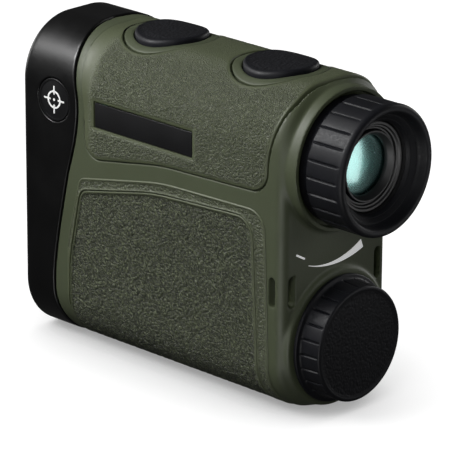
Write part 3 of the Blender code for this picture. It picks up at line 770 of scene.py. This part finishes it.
def make_eyepiece():
    start, end, outer = edge("eyecup", 0, 0), CUP_END, edge("eyecup", 1, 1)
    # Each list gives (distance in from the cup's start or end, distance in from its widest radius).
    collar = [(-2.6, 1.4), (-2.6, 0.75), (-2.4, 0.6), (-0.25, 0.6), (-0.1, 0.5), (0, 0.3), (0.25, 0.08), (0.65, 0.02)]
    lip = [(2.0, 0), (1.6, 0), (1.3, 0), (1.0, 0.02), (0.7, 0.09), (0.42, 0.24), (0.2, 0.44), (0.05, 0.72), (0, 1.0),
           (0.02, 1.3), (0.12, 1.58), (0.3, 1.8)]
    funnel = [(0.6, 1.98), (1.6, 2.35), (2.3, 2.7), (2.4, 2.85), (2.36, 3.0), (2.45, 3.15), (3.1, 3.75), (3.2, 3.88),
              (3.16, 4.02), (3.3, 4.2), (3.95, 4.55), (4.08, 4.62)]
    underside = [(4.14, 4.55), (3.4, 4.05), (2.66, 3.1), (2.55, 2.9), (2.55, 0.85)]
    profile = [
        *[(start + x, outer - inset) for x, inset in collar],
        *filled((start + 0.65, outer), (end - 2.0, outer), 13),
        *[(end - x, outer - inset) for x, inset in lip + funnel + underside],
        (start, outer - 0.95)]
    ribbing = ribs(24, start + 0.25, end - 1.35, 0.4, 0.14, outer - 0.4, 0.6, 0.8)
    cup = lathe("eyecup_skin", profile, OPTIC_Z, rib_angles(24), ribbing)

    def span(node):
        return edge(node, 0, 0), edge(node, 0, 1)

    x0, x1 = span("diopter_ring")
    shape = [(x0, 12.25), (x0, edge("diopter_ring", 1, 1)), (x1, edge("diopter_ring", 1, 1)), (x1, 12.25)]
    ring = lathe("diopter_ring_detail", rounded(shape, (0.2, 0.25, 0.1, 0.2)), OPTIC_Z, 144)
    x0, x1 = span("ocular_cell")
    shape = [(x0, 8.4), (x0, 10.3), (x1, 10.3), (x1, 9.6), (x1 - 0.5, 9.35), (x1 - 0.5, 9.0), (x1 - 1.0, 8.75),
             (x1 - 1.0, 8.4)]
    cell = lathe("ocular_cell_detail", rounded(shape, (0, 0.1, 0.25, 0.15, 0.1, 0.1, 0.1, 0), 3), OPTIC_Z)
    x0, x1 = span("ocular_retainer")
    shape = [(x0, 6.9), (x0, 8.1), (x1, 8.1), (x1, 7.7), (x0 + 0.75, 7.0), (x0 + 0.4, 6.9)]
    retainer = lathe("ocular_retainer_detail", rounded(shape, (0, 0.1, 0.15, 0.12, 0.15, 0), 3), OPTIC_Z)
    return cup, ring, cell, retainer


def make_lens(name, z, middle, thickness, r, front_bulge, back_bulge):
    """A lens with spherical faces: middle is the middle of its edge, bulges are how far its faces crown."""
    def face(x, bulge, sign):
        sphere = (r * r + bulge * bulge) / (2 * bulge)
        rs = r * np.sin(np.linspace(0, math.pi / 2, 22))
        return [(x + sign * (bulge - sphere + math.sqrt(sphere**2 - q * q)), q) for q in rs]
    front = face(middle - thickness / 2, front_bulge, -1)
    back = face(middle + thickness / 2, back_bulge, 1)
    return lathe(name, front + back[::-1], z, 96, smooth_angle=30)


def make_front_optics(part, z, rim, wall, bore, end, step, grip, clear, last, lens):
    """Barrel or cell, retaining ring and lens at one of the two front openings. Lengths run back from the front."""
    seat, collar, retainer = 2.4, 4.4, 2.5
    shape = [(seat, bore), (seat, rim), (collar, rim), (collar, wall), (end, wall), (end, bore - 1.1),
             (step, bore - 1.1), (step, bore)]
    barrel = rounded([(FRONT + x, r) for x, r in shape], (0.25, 0.2, 0.1, 0, 0.2, 0.1, 0, 0))
    shape = [(retainer, grip), (last, grip), (last, clear), (3.3, clear), (2.9, clear + 0.15), (retainer, clear + 0.45)]
    ring = rounded([(FRONT + x, r) for x, r in shape], (0.1, 0, 0.1, 0.1, 0.1, 0.1), 3)
    middle, *sizes = lens
    return (lathe(part + "_barrel_detail", barrel, z, 144), lathe(part + "_retainer_detail", ring, z, 144),
            make_lens(part + "_glass", z, FRONT + middle, *sizes))


def make_cap():
    face, start = edge("battery_cap", 0, 1), edge("battery_cap", 0, 0)
    back = face - 6.5
    flange = edge("battery_cap", 1, 1)
    foot = [(0, 10.8), (0, flange - 0.25), (0.1, flange - 0.07), (0.3, flange), (0.7, flange), (0.85, flange - 0.1),
            (0.92, flange - 0.3), (1.0, 14.1), (1.15, 13.85), (1.45, 13.72)]
    lip = [(0.85, 13.43), (0.6, 13.41), (0.4, 13.37), (0.2, 13.27), (0.07, 13.1), (0, 12.9), (0, 12.65), (0.03, 12.5),
           (0.1, 12.4), *[(0.1, r) for r in np.arange(12.2, 0.5, -0.4)], (0.1, 0)]
    profile = [*[(back + x, r) for x, r in foot], *filled((back + 1.45, 13.72), (face - 0.85, 13.43), 12),
               *[(face - x, r) for x, r in lip]]
    ribbing = ribs(24, back + 1.0, face - 0.3, 0.42, 0.12, 13, 0.7, 0.8)
    obj = lathe("battery_cap_skin", profile, BATTERY_Z, rib_angles(24), ribbing)
    # Pebbles on the flat face, fading towards its edge.
    mesh = obj.data
    co = np.empty(len(mesh.vertices) * 3)
    mesh.vertices.foreach_get("co", co)
    co = co.reshape(-1, 3) / MM
    y, z = co[:, 1], co[:, 2] - BATTERY_Z
    r, pebbled = np.hypot(y, z), 12.3
    flat = (co[:, 0] > face - 0.12) & (r < pebbled)
    pebble = ease((pebbled - r) / 0.5) * flat
    co[:, 0] -= np.where(flat, 0.05 * (1 - cells(y, z, 1.0, 21)) * pebble, 0)
    mesh.vertices.foreach_set("co", (co * MM).ravel())
    add_mask(obj, "grain", pebble)

    def thread(x, r, angle):
        """A groove that runs round once every pitch, fading at both ends of the skirt."""
        if r < 10:
            return 0 * angle
        pitch, deep = 1.5, 0.34
        wave = np.abs(((x - start) / pitch - angle / (2 * math.pi)) % 1.0 - 0.5) * 2
        return -deep * ease(wave / 0.8) * ease((x - start) / 0.8) * ease((back - 0.6 - x) / 0.8)

    skirt = [(start, 9.0), (start, 10.5), *[(x, 10.8) for x in np.arange(start + 0.3, back, 0.1875)],
             (back + 0.2, 10.8), (back + 0.2, 9.0)]
    return obj, lathe("battery_cap_thread", skirt, BATTERY_Z, 96, thread)


# ---------------------------------------------------------------- buttons, plates, prints

def make_button(name, x):
    """A crowned, pebbled cap that follows the body's round top, with a groove inside its rolled edge."""
    count, rim, crown = 168, 0.8, 0.9
    turn = np.linspace(0, math.pi / 2, 7)
    flat = BUTTON_R - rim
    radii = np.concatenate([np.arange(0.32, flat - 0.25, 0.32), [flat - 0.2, flat - 0.1], flat + rim * np.sin(turn)])
    sinks = np.concatenate([np.full(len(radii) - len(turn), -crown), -crown + rim * (1 - np.cos(turn))])

    def pebbled(r):
        return ease((flat - 0.2 - r) / 0.3)

    points = [(x, 0, TOP + crown)]
    for r, sink in zip(radii, sinks):
        u, y = circle(r, count).T
        groove = 0.07 * math.exp(-((r - flat + 0.12) / 0.1) ** 2)
        drop = sink + groove + 0.06 * pebbled(r) * (1 - cells(u, y, 0.85, 31))
        points += list(zip(x + u, y, section(across(y))[1] - drop))
    low = edge(name + "_cap", 2, 0)
    for r, z in ((BUTTON_R, low + 0.2), (BUTTON_R - 0.2, low)):
        points += [(*p, z) for p in circle(r, count, x)]
    faces = [[0, 1 + j, 1 + (j + 1) % count] for j in range(count)] + bands(1, count, len(radii) + 2, flip=True)
    faces.append(list(range(len(points) - count, len(points))))
    obj = make_object(name + "_dome", points, faces, None)
    tidy(obj, outward=True)
    obj.data.set_sharp_from_angle(angle=math.radians(50))
    co = np.array([v.co[:2] for v in obj.data.vertices]) / MM
    add_mask(obj, "grain", pebbled(np.hypot(co[:, 0] - x, co[:, 1])))
    return obj


def slab(name, outline, low, high, bevel, place):
    """A flat plate: its outline in its own plane, its two levels, and a rounded upper edge. place maps it out."""
    outline = np.asarray(outline, float)
    ahead, behind = np.roll(outline, -1, 0) - outline, outline - np.roll(outline, 1, 0)
    normals = []
    for a, b in zip(behind, ahead):
        na, nb = np.array([a[1], -a[0]]) / np.hypot(*a), np.array([b[1], -b[0]]) / np.hypot(*b)
        both = na + nb
        normals.append(both / max(both @ nb, 0.35))
    normals = np.array(normals)
    turn = np.linspace(0, math.pi / 2, 4)
    levels = [(0.0, low)] + [(bevel * (1 - math.cos(t)), high - bevel * (1 - math.sin(t))) for t in turn]
    points = [place(*p, level) for inset, level in levels for p in outline - normals * inset]
    count = len(outline)
    faces = bands(0, count, len(levels))
    faces += [list(range(count))[::-1], list(range(len(points) - count, len(points)))]
    obj = make_object(name, points, faces, None)
    shape = bmesh.new()
    shape.from_mesh(obj.data)
    bmesh.ops.recalc_face_normals(shape, faces=shape.faces)
    big = [f for f in shape.faces if len(f.verts) > 4]
    bmesh.ops.triangulate(shape, faces=big)
    shape.to_mesh(obj.data)
    shape.free()
    obj.data.shade_smooth()
    obj.data.set_sharp_from_angle(angle=math.radians(35))
    return obj


def rectangle(x0, x1, z0, z1, radius, steps=4):
    """A rectangle's outline with rounded corners."""
    found = []
    for cx, cz, start in ((x1 - radius, z1 - radius, 0), (x0 + radius, z1 - radius, 90),
                          (x0 + radius, z0 + radius, 180), (x1 - radius, z0 + radius, 270)):
        for k in range(steps + 1):
            t = math.radians(start + 90 * k / steps)
            found.append((cx + radius * math.cos(t), cz + radius * math.sin(t)))
    return found


def circle(radius, steps, x=0.0, z=0.0):
    t = np.linspace(0, 2 * math.pi, steps, endpoint=False)
    return np.stack([x + radius * np.cos(t), z + radius * np.sin(t)], 1)


def join(name, objects):
    points, faces = [], []
    for obj in objects:
        first = len(points)
        points += [tuple(np.array(v.co) / MM) for v in obj.data.vertices]
        faces += [[first + i for i in p.vertices] for p in obj.data.polygons]
        bpy.data.objects.remove(obj)
    return make_object(name, points, faces, 35)


def on_side(side):
    """Maps a plan in x and z to a plate lying on the body's side."""
    return lambda x, z, level: (x, side * level, z)


def band_ring(name, inner, outer, low, high, place, steps=72, x=0.0, z=0.0):
    """A flat raised ring."""
    a, b = circle(inner, steps, x, z), circle(outer, steps, x, z)
    points = [place(*p, level) for loop, level in ((a, low), (a, high), (b, high), (b, low)) for p in loop]
    faces = []
    for k in range(4):
        for i in range(steps):
            j = (i + 1) % steps
            faces.append([k * steps + i, k * steps + j, (k + 1) % 4 * steps + j, (k + 1) % 4 * steps + i])
    obj = make_object(name, points, faces, 30)
    tidy(obj, outward=True)
    return obj


def make_side_plates(side, word):
    """A blank nameplate, a badge with a raised rim, and the reticle printed on it. side is -1 left or 1 right."""
    place = on_side(side)

    def levels(node):
        return [edge(node, 1, end) * side for end in ((0, 1) if side > 0 else (1, 0))]

    name = f"{word}_nameplate"
    base, level = levels(name)
    outline = rectangle(edge(name, 0, 0), edge(name, 0, 1), edge(name, 2, 0), edge(name, 2, 1), 0.12)
    plate = slab(name + "_face", outline, base, level - 0.1, 0.05, place)
    x, z = BADGE
    base, level = levels(f"{word}_badge")
    disc = slab("disc", circle(5.0, 72, x, z), base, level - 0.14, 0.1, place)
    badge = join(f"{word}_badge_face", [disc, band_ring("rim", 4.55, 4.9, base, level, place, 72, x, z)])
    marks = [band_ring("mark", 1.75, 2.15, level - 0.2, level - 0.06, place, 48, x, z)]
    near, far, wide = 1.2, 3.3, 0.2
    for dx, dz in ((1, 0), (-1, 0), (0, 1), (0, -1)):
        ax, bx = sorted((x + dx * near, x + dx * far))
        az, bz = sorted((z + dz * near, z + dz * far))
        tick = rectangle(ax - wide * (dx == 0), bx + wide * (dx == 0), az - wide * (dz == 0), bz + wide * (dz == 0),
                         0.05, 1)
        marks.append(slab("mark", tick, level - 0.2, level - 0.05, 0.03, place))
    marks.append(slab("mark", circle(0.32, 16, x, z), level - 0.2, level - 0.05, 0.03, place))
    return plate, badge, join(f"{word}_badge_reticle", marks)


def make_prints():
    """The focus scale printed under the eyepiece: a tapered arc, a minus and a plus."""
    thick = 0.05

    def place(r, turn, level):
        return (REAR + level, r * math.sin(turn), OPTIC_Z - r * math.cos(turn))

    count = 40
    sweep = np.radians(np.linspace(-21, 21, count))
    widths = 0.12 + 2.0 * ((sweep - sweep[0]) / (sweep[-1] - sweep[0])) ** 1.5
    outer, inner = [(25.0, t) for t in sweep], [(25.0 - wide, t) for wide, t in zip(widths, sweep)]
    points = [place(r, t, level) for level in (-thick, thick) for r, t in outer + inner]
    faces = []
    for a in range(count - 1):
        b, c, d = a + 1, count + a + 1, count + a
        faces += [[a, b, c, d], [2 * count + d, 2 * count + c, 2 * count + b, 2 * count + a],
                  [a, 2 * count + a, 2 * count + b, b], [d, c, 2 * count + c, 2 * count + d]]
    faces.append([count - 1, 3 * count - 1, 4 * count - 1, 2 * count - 1])
    wedge = make_object("focus_arc", points, faces, 35)
    tidy(wedge, outward=True)
    left, right = math.radians(-32), math.radians(-26.6)
    dash = slab("dash", [(23.45, left), (23.45, right), (23.85, right), (23.85, left)], -thick, thick, 0.02, place)
    middle, turn = 22.3, math.radians(29)
    plus = []
    for k, (a, b) in enumerate(((1.2, 0.2), (0.2, 1.2))):
        a /= middle
        bar = [(middle - b, turn - a), (middle + b, turn - a), (middle + b, turn + a), (middle - b, turn + a)]
        plus.append(slab("plus", bar[::-1], -thick, thick + 0.01 * k, 0.02, place))
    return join("focus_scale_print", [wedge, dash, *plus])


# ---------------------------------------------------------------- materials

class Nodes:
    """A short way to lay out a procedural material."""

    def __init__(self, name, colour, roughness, **sockets):
        self.material = bpy.data.materials.new(name)
        self.material.use_nodes = True
        self.material.diffuse_color = (*colour[:3], 1)
        self.tree = self.material.node_tree
        self.shader = self.tree.nodes["Principled BSDF"]
        self.shader.inputs["Base Color"].default_value = (*colour[:3], 1)
        self.shader.inputs["Roughness"].default_value = roughness
        for key, value in sockets.items():
            self.shader.inputs[key.replace("_", " ").title().replace("Ior", "IOR")].default_value = value
        self.where = self.tree.nodes.new("ShaderNodeTexCoord").outputs["Object"]

    def add(self, kind, links=(), **values):
        node = self.tree.nodes.new(kind)
        for key, value in values.items():
            if hasattr(node, key):
                setattr(node, key, value)
            else:
                node.inputs[key.replace("_", " ").title()].default_value = value
        for key, source in dict(links).items():
            self.tree.links.new(source, node.inputs[key])
        return node

    def noise(self, size, detail=3.0, roughness=0.5):
        """Noise with features about size millimetres across."""
        return self.add("ShaderNodeTexNoise", {"Vector": self.where}, scale=0.5 / (size * MM), detail=detail,
                        roughness=roughness).outputs["Fac"]

    def pebbles(self, size):
        return self.add("ShaderNodeTexVoronoi", {"Vector": self.where}, feature="SMOOTH_F1",
                        scale=1 / (size * MM)).outputs["Distance"]

    def scratches(self, size, stretch):
        mapping = self.add("ShaderNodeMapping", {"Vector": self.where})
        mapping.inputs["Scale"].default_value = stretch
        return self.add("ShaderNodeTexNoise", {"Vector": mapping.outputs["Vector"]}, scale=0.5 / (size * MM),
                        detail=2.0).outputs["Fac"]

    def ramp(self, source, low, high, start=0.35, end=0.65):
        node = self.add("ShaderNodeMapRange", {"Value": source})
        for key, value in (("From Min", start), ("From Max", end), ("To Min", low), ("To Max", high)):
            node.inputs[key].default_value = value
        return node.outputs["Result"]

    def blend(self, factor, first, second):
        node = self.tree.nodes.new("ShaderNodeMix")
        node.data_type = "RGBA"
        for key, value in ((6, first), (7, second)):
            if isinstance(value, tuple):
                node.inputs[key].default_value = (*value[:3], 1)
            else:
                self.tree.links.new(value, node.inputs[key])
        self.tree.links.new(factor, node.inputs[0])
        return node.outputs[2]

    def maths(self, operation, a, b):
        node = self.tree.nodes.new("ShaderNodeMath")
        node.operation = operation
        for key, value in ((0, a), (1, b)):
            if isinstance(value, (int, float)):
                node.inputs[key].default_value = value
            else:
                self.tree.links.new(value, node.inputs[key])
        return node.outputs[0]

    def colour(self, source):
        self.tree.links.new(source, self.shader.inputs["Base Color"])

    def rough(self, source):
        self.tree.links.new(source, self.shader.inputs["Roughness"])

    def bump(self, *layers):
        """layers: (height, distance in millimetres). Each one rides on the one before."""
        normal = None
        for height, distance in layers:
            node = self.add("ShaderNodeBump", {"Height": height}, distance=distance * MM)
            node.inputs["Strength"].default_value = 1.0
            if normal:
                self.tree.links.new(normal, node.inputs["Normal"])
            normal = node.outputs["Normal"]
        self.tree.links.new(normal, self.shader.inputs["Normal"])

    def mask(self, name="grain"):
        return self.add("ShaderNodeAttribute", attribute_name=name).outputs["Fac"]


def shade(colour, factor):
    return tuple(c * factor for c in colour)


def moulded(name, colour, roughness, grain=0.012, size=0.25, spread=0.12, **sockets):
    """Moulded plastic: a faint fine texture, with slow changes of tone and gloss."""
    m = Nodes(name, colour, roughness, **sockets)
    slow = m.noise(9, 3)
    fine = m.noise(size, 2)
    m.colour(m.blend(m.ramp(slow, 0.0, 1.0), shade(colour, 1 - spread), shade(colour, 1 + spread)))
    worn = m.maths("ADD", m.noise(4, 4), m.maths("MULTIPLY", fine, 0.3))
    m.rough(m.ramp(worn, roughness - 0.05, roughness + 0.06, 0.4, 0.9))
    m.bump((fine, grain))
    return m.material


def armour_rubber(name, colour, roughness, size, contrast):
    """Soft olive rubber: leaning leather folds where the mask says so, with painted highlight flecks on them, and
    painted shade in the creases and between the crowns.
    """
    m = Nodes(name, colour, roughness, specular_ior_level=0.36)
    mask = m.mask()
    crown = m.mask("crown")
    fine = m.noise(0.22, 3, 0.6)
    lean = m.add("ShaderNodeMapping", {"Vector": m.where})
    lean.inputs["Rotation"].default_value = (0, -0.75, 0)
    long = m.add("ShaderNodeMapping", {"Vector": lean.outputs["Vector"]})
    long.inputs["Scale"].default_value = (0.42, 1, 1)
    fleck = m.add("ShaderNodeTexNoise", {"Vector": long.outputs["Vector"]}, scale=0.5 / (size * 0.36 * MM), detail=2.0,
                  roughness=0.55).outputs["Fac"]
    crease = m.add("ShaderNodeTexVoronoi", {"Vector": long.outputs["Vector"]}, feature="DISTANCE_TO_EDGE",
                   scale=1 / (size * MM)).outputs["Distance"]
    slow = m.noise(14, 3)
    base = m.blend(m.ramp(slow, 0, 1), shade(colour, 0.95), shade(colour, 1.05))
    # Painted shade: darker in the creases between the folds.
    painted_crease_shade = m.maths("MULTIPLY", m.ramp(crease, 0.75 * contrast, 0.0, 0.0, 0.2), mask)
    painted_shade_colour = m.blend(painted_crease_shade, base, shade(colour, 0.28))
    # Painted shade: darker where the crowns fall away, between the folds.
    deep = m.maths("MULTIPLY", m.ramp(crown, 0.3, 0.0, 0.05, 0.4), mask)
    painted_shade_colour = m.blend(deep, painted_shade_colour, shade(colour, 0.45))
    # Painted highlight: lighter flecks along the folds.
    light = m.maths("MULTIPLY", m.ramp(fleck, 0.0, 0.8 * contrast, 0.52, 0.64), mask)
    m.colour(m.blend(light, painted_shade_colour, shade(colour, 2.2)))
    m.rough(m.ramp(fine, roughness - 0.07, roughness + 0.08))
    height = m.maths("MULTIPLY", m.ramp(crease, 0.0, 1.0, 0.0, 0.3), mask)
    m.bump((fine, 0.03), (m.maths("MULTIPLY", fleck, mask), 0.6 * contrast), (height, 0.35 * contrast))
    return m.material


def pebbled_rubber(name, colour, roughness, size, depth):
    m = Nodes(name, colour, roughness, specular_ior_level=0.14)
    mask = m.mask()
    pebble = m.pebbles(size)
    fine = m.noise(0.2, 2)
    slow = m.noise(6, 3)
    base = m.blend(m.ramp(slow, 0, 1), shade(colour, 0.85), shade(colour, 1.2))
    # Painted shade: darker in the gaps between the pebbles.
    m.colour(m.blend(m.maths("MULTIPLY", m.ramp(pebble, 0, 0.7, 0.3, 0.7), mask), base, shade(colour, 0.4)))
    m.rough(m.maths("ADD", m.ramp(fine, roughness - 0.06, roughness + 0.06), m.maths("MULTIPLY", mask, 0.14)))
    m.bump((fine, 0.01), (m.maths("MULTIPLY", m.maths("MULTIPLY", pebble, -1.0), mask), depth))
    return m.material


def metal(name, colour, roughness, metallic=1.0, spread=0.15):
    """Turned metal, with fine marks round it."""
    m = Nodes(name, colour, roughness, metallic=metallic)
    slow = m.noise(3, 3)
    marks = m.scratches(0.15, (12, 1, 1))
    m.colour(m.blend(m.ramp(slow, 0, 1), shade(colour, 1 - spread), shade(colour, 1 + spread)))
    m.rough(m.ramp(marks, roughness - 0.06, roughness + 0.08))
    m.bump((marks, 0.006))
    return m.material


def glass(name, tint, roughness=0.02, reflect=(0.45, 0.95, 0.85), ior=1.62):
    """Coated optical glass: its coating colours what it reflects, and faint dust dulls it in places."""
    m = Nodes(name, tint, roughness, transmission_weight=1.0, ior=ior)
    m.shader.inputs["Specular Tint"].default_value = (*reflect, 1)
    m.shader.inputs["Coat Weight"].default_value = 0.6
    m.shader.inputs["Coat Roughness"].default_value = 0.05
    m.shader.inputs["Coat Tint"].default_value = (*reflect, 1)
    dust = m.noise(1.2, 5, 0.65)
    m.colour(m.blend(m.ramp(dust, 0, 1, 0.4, 0.9), tint, shade(tint, 0.86)))
    m.rough(m.ramp(dust, roughness, roughness + 0.05, 0.45, 0.8))
    return m.material


def board(name, colour):
    m = Nodes(name, colour, 0.42)
    tracks = m.add("ShaderNodeTexBrick", {"Vector": m.where})
    tracks.inputs["Scale"].default_value = 420
    tracks.inputs["Mortar Size"].default_value = 0.018
    for key, value in (("Color1", colour), ("Color2", shade(colour, 0.85)), ("Mortar", shade(colour, 1.8))):
        tracks.inputs[key].default_value = (*value, 1)
    m.colour(m.blend(m.ramp(m.noise(0.8, 3), 0.0, 0.5), tracks.outputs["Color"], shade(colour, 0.7)))
    m.bump((m.noise(0.3, 2), 0.02))
    return m.material


OLIVE, ARMOUR_OLIVE = (0.097, 0.117, 0.062), (0.113, 0.134, 0.068)
MATERIALS = {
    "olive_shell": moulded("olive_shell_finish", OLIVE, 0.55, 0.03, 0.22, 0.05, specular_ior_level=0.3),
    "olive_armour": armour_rubber("olive_armour_painted_shade_finish", ARMOUR_OLIVE, 0.54, 0.42, 1.1),
    "upper_grain": armour_rubber("upper_armour_painted_shade_finish", ARMOUR_OLIVE, 0.52, 0.36, 0.6),
    "black_shell": moulded("black_shell_finish", (0.004, 0.004, 0.0042), 0.34, 0.008, 0.3, 0.15,
                           specular_ior_level=0.28),
    "black_trim": moulded("black_trim_finish", (0.008, 0.008, 0.009), 0.42, 0.01, 0.2, 0.1, specular_ior_level=0.3),
    "black_rubber": pebbled_rubber("black_rubber_painted_shade_finish", (0.0115, 0.012, 0.0155), 0.52, 0.6, 0.2),
    "inner_plastic": moulded("inner_plastic_finish", (0.015, 0.015, 0.016), 0.5),
    "anodised_metal": metal("anodised_metal_finish", (0.03, 0.03, 0.034), 0.42, metallic=0.6),
    "coated_glass": glass("coated_glass_finish", (0.72, 0.86, 0.82)),
    "eyepiece_glass": glass("eyepiece_glass_finish", (0.2, 0.36, 0.33), 0.24, (0.7, 1.0, 0.97), 3.4),
    "circuit_board": board("circuit_board_finish", (0.02, 0.16, 0.06)),
    "component": moulded("component_finish", (0.03, 0.03, 0.03), 0.45, 0.02, 0.15),
    "steel": metal("steel_finish", (0.6, 0.6, 0.6), 0.3),
    "brass_contact": metal("brass_contact_finish", (0.75, 0.6, 0.3), 0.28),
    "capacitor_can": metal("capacitor_can_finish", (0.55, 0.5, 0.35), 0.35, metallic=0.4),
    "battery_label": moulded("battery_label_finish", (0.08, 0.1, 0.28), 0.3, 0.006, 0.4, 0.08),
    "seal_rubber": moulded("seal_rubber_finish", (0.25, 0.25, 0.26), 0.6, 0.02, 0.2),
    # Painted light: the white print glows faintly by emission, though it is no lamp.
    "white_print": moulded("white_print_painted_glow_finish", (0.88, 0.89, 0.87), 0.5, 0.01, 0.12, 0.04,
                           emission_color=(1, 1, 1, 1), emission_strength=0.34),
}

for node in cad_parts.values():
    for spot in node.material_slots:
        spot.material = MATERIALS.get(spot.material.name.split(".")[0], MATERIALS["inner_plastic"])


def dress(obj, slot, body, *nodes, finish=None):
    """Gives a new piece its material, from the finish or else the slot, puts it on the body it rides, and hides the CAD
    nodes it stands for.
    """
    obj.data.materials.clear()
    obj.data.materials.append(MATERIALS[finish or slot])
    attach(obj, body)
    if nodes:
        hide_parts(*nodes)


# ---------------------------------------------------------------- the object

dress(make_cover(), "black_shell", "housing", "front_cover")
dress(make_housing(), "olive_shell", "housing", "main_housing")
dress(make_upper_armour(), "olive_armour", "housing", "upper_armour", finish="upper_grain")
dress(make_lower_armour(), "olive_armour", "housing", "lower_armour")

for side, word in ((-1, "left"), (1, "right")):
    plate, badge, reticle = make_side_plates(side, word)
    dress(plate, "black_trim", "housing", f"{word}_nameplate")
    dress(badge, "black_trim", "housing", f"{word}_badge")
    dress(reticle, "black_trim", "housing", finish="white_print")

cup, ring, cell, retainer = make_eyepiece()
dress(cup, "black_rubber", "eyepiece_ring", "eyecup")
dress(ring, "inner_plastic", "eyepiece_ring", "diopter_ring")
dress(cell, "inner_plastic", "ocular", "ocular_cell")
dress(retainer, "inner_plastic", "ocular", "ocular_retainer")
dress(make_lens("eye_lens_glass", OPTIC_Z, centre("eye_lens", 0), 1.6, 8.1, 1.3, 1.3),
      "coated_glass", "ocular", "eye_lens", finish="eyepiece_glass")

objective = make_front_optics("objective", OPTIC_Z, rim=12.6, wall=11.8, bore=10.5, end=18, step=9.6, grip=10.2,
                              clear=9.3, last=4.4, lens=(5.7, 1.2, 10.2, 0.9, 0.9))
emitter = make_front_optics("emitter", EMITTER_Z, rim=9.6, wall=8.7, bore=7.7, end=26, step=9, grip=7.4,
                            clear=6.7, last=4.9, lens=(6.7, 1.4, 7.4, 1.1, 1.1))
for pieces, names in ((objective, ("objective_cell", "objective_retainer", "objective_lens_front")),
                      (emitter, ("emitter_barrel", "emitter_retainer", "emitter_lens"))):
    for piece, slot, name in zip(pieces, ("anodised_metal", "anodised_metal", "coated_glass"), names):
        dress(piece, slot, "housing", name)

cap, collar = make_cap()
dress(cap, "black_rubber", "battery_cap", "battery_cap")
dress(collar, "black_rubber", "battery_cap")

for name in ("front_button", "rear_button"):
    dress(make_button(name, BUTTONS[name.split("_")[0]]), "black_rubber", name, name + "_cap")

dress(make_prints(), "olive_shell", "housing", finish="white_print")

# ---------------------------------------------------------------- floor, light and camera

floor_mesh = bpy.data.meshes.new("floor")
uv, quads = grid(np.linspace(-3000, 3000, 5), np.linspace(-3000, 3000, 5))
floor_mesh.from_pydata([(x * MM, y * MM, 0) for x, y in uv], [], quads.tolist())
floor = bpy.data.objects.new("floor", floor_mesh)
bpy.context.scene.collection.objects.link(floor)
paper = Nodes("floor_paper", (0.4, 0.4, 0.4), 0.75)
paper.colour(paper.blend(paper.ramp(paper.noise(60, 2), 0, 1), (0.39, 0.39, 0.39), (0.41, 0.41, 0.41)))
# Painted shadow: the floor's even glow dims by ambient occlusion close to the object.
near = paper.add("ShaderNodeAmbientOcclusion")
near.samples = 8
near.inputs["Distance"].default_value = 34 * MM
glow_with_painted_shadow = paper.ramp(near.outputs["AO"], 0.3, 1.0, 0.15, 0.95)
paper.shader.inputs["Emission Color"].default_value = (1, 1, 1, 1)
paper.tree.links.new(glow_with_painted_shadow, paper.shader.inputs["Emission Strength"])
floor.data.materials.append(paper.material)
floor.visible_diffuse = floor.visible_glossy = floor.visible_transmission = floor.visible_shadow = False

world = bpy.data.worlds.new("studio")
world.use_nodes = True
world.node_tree.nodes["Background"].inputs["Color"].default_value = (1, 1, 1, 1)
world.node_tree.nodes["Background"].inputs["Strength"].default_value = 0.05
bpy.context.scene.world = world


def softbox(name, direction, distance, size, power, target=(0, 0, 38), diffuse=True, glossy=True):
    """A soft light at a distance in millimetres, facing the target."""
    light = bpy.data.lights.new(name, "AREA")
    light.shape = "RECTANGLE"
    light.size, light.size_y = size[0] * MM, size[1] * MM
    light.energy = power
    obj = bpy.data.objects.new(name, light)
    out = Vector(direction).normalized()
    obj.location = (Vector(target) + out * distance) * MM
    obj.rotation_euler = out.to_track_quat("Z", "Y").to_euler()
    obj.visible_camera = False
    obj.visible_diffuse = diffuse
    obj.visible_glossy = glossy
    bpy.context.scene.collection.objects.link(obj)


softbox("key", (-0.36, -0.62, 0.62), 300, (150, 120), 0.52, target=(10, -17, 45))
softbox("side", (0.5, -0.76, 0.42), 320, (90, 140), 0.17, target=(25, -17, 55))
softbox("over", (0.05, 0.4, 0.9), 400, (220, 220), 0.05, glossy=False)
softbox("far", (0.1, 0.97, 0.15), 700, (300, 300), 1.4)
softbox("front", (-0.97, -0.1, 0.15), 700, (300, 300), 1.0)
softbox("sheen", (-0.5, -0.5, 0.58), 300, (100, 100), 1.5, target=(12, -12, 64), diffuse=False)
softbox("edge", (0.44, -0.83, -0.3), 300, (40, 160), 0.5, target=(REAR, -15, 30), diffuse=False)
softbox("low_card", (0.86, 0.42, -0.22), 75, (40, 56), 0.022, target=(CUP_END - 6, 0, OPTIC_Z), diffuse=False)

# The camera: a long lens, from behind, above and to the left.
azimuth, elevation, roll = math.radians(44), math.radians(19.6), math.radians(0.3)
distance = 852
aim = Vector((-0.7, 2, 32))
right = Vector((math.cos(azimuth), math.sin(azimuth), 0))
back = Vector((math.sin(azimuth) * math.cos(elevation), -math.cos(azimuth) * math.cos(elevation), math.sin(elevation)))
up = back.cross(right)
tilted_right = right * math.cos(roll) + up * math.sin(roll)
tilted_up = up * math.cos(roll) - right * math.sin(roll)
camera_data = bpy.data.cameras.new("camera")
camera_data.sensor_width = 36
camera_data.lens = 292
camera_data.clip_start, camera_data.clip_end = 0.01, 20
camera = bpy.data.objects.new("camera", camera_data)
camera.matrix_world = Matrix.Translation((aim + back * distance) * MM) @ Matrix(
    (tilted_right, tilted_up, back)).transposed().to_4x4()
bpy.context.scene.collection.objects.link(camera)
bpy.context.scene.camera = camera
bpy.context.scene.view_settings.view_transform = "Standard"
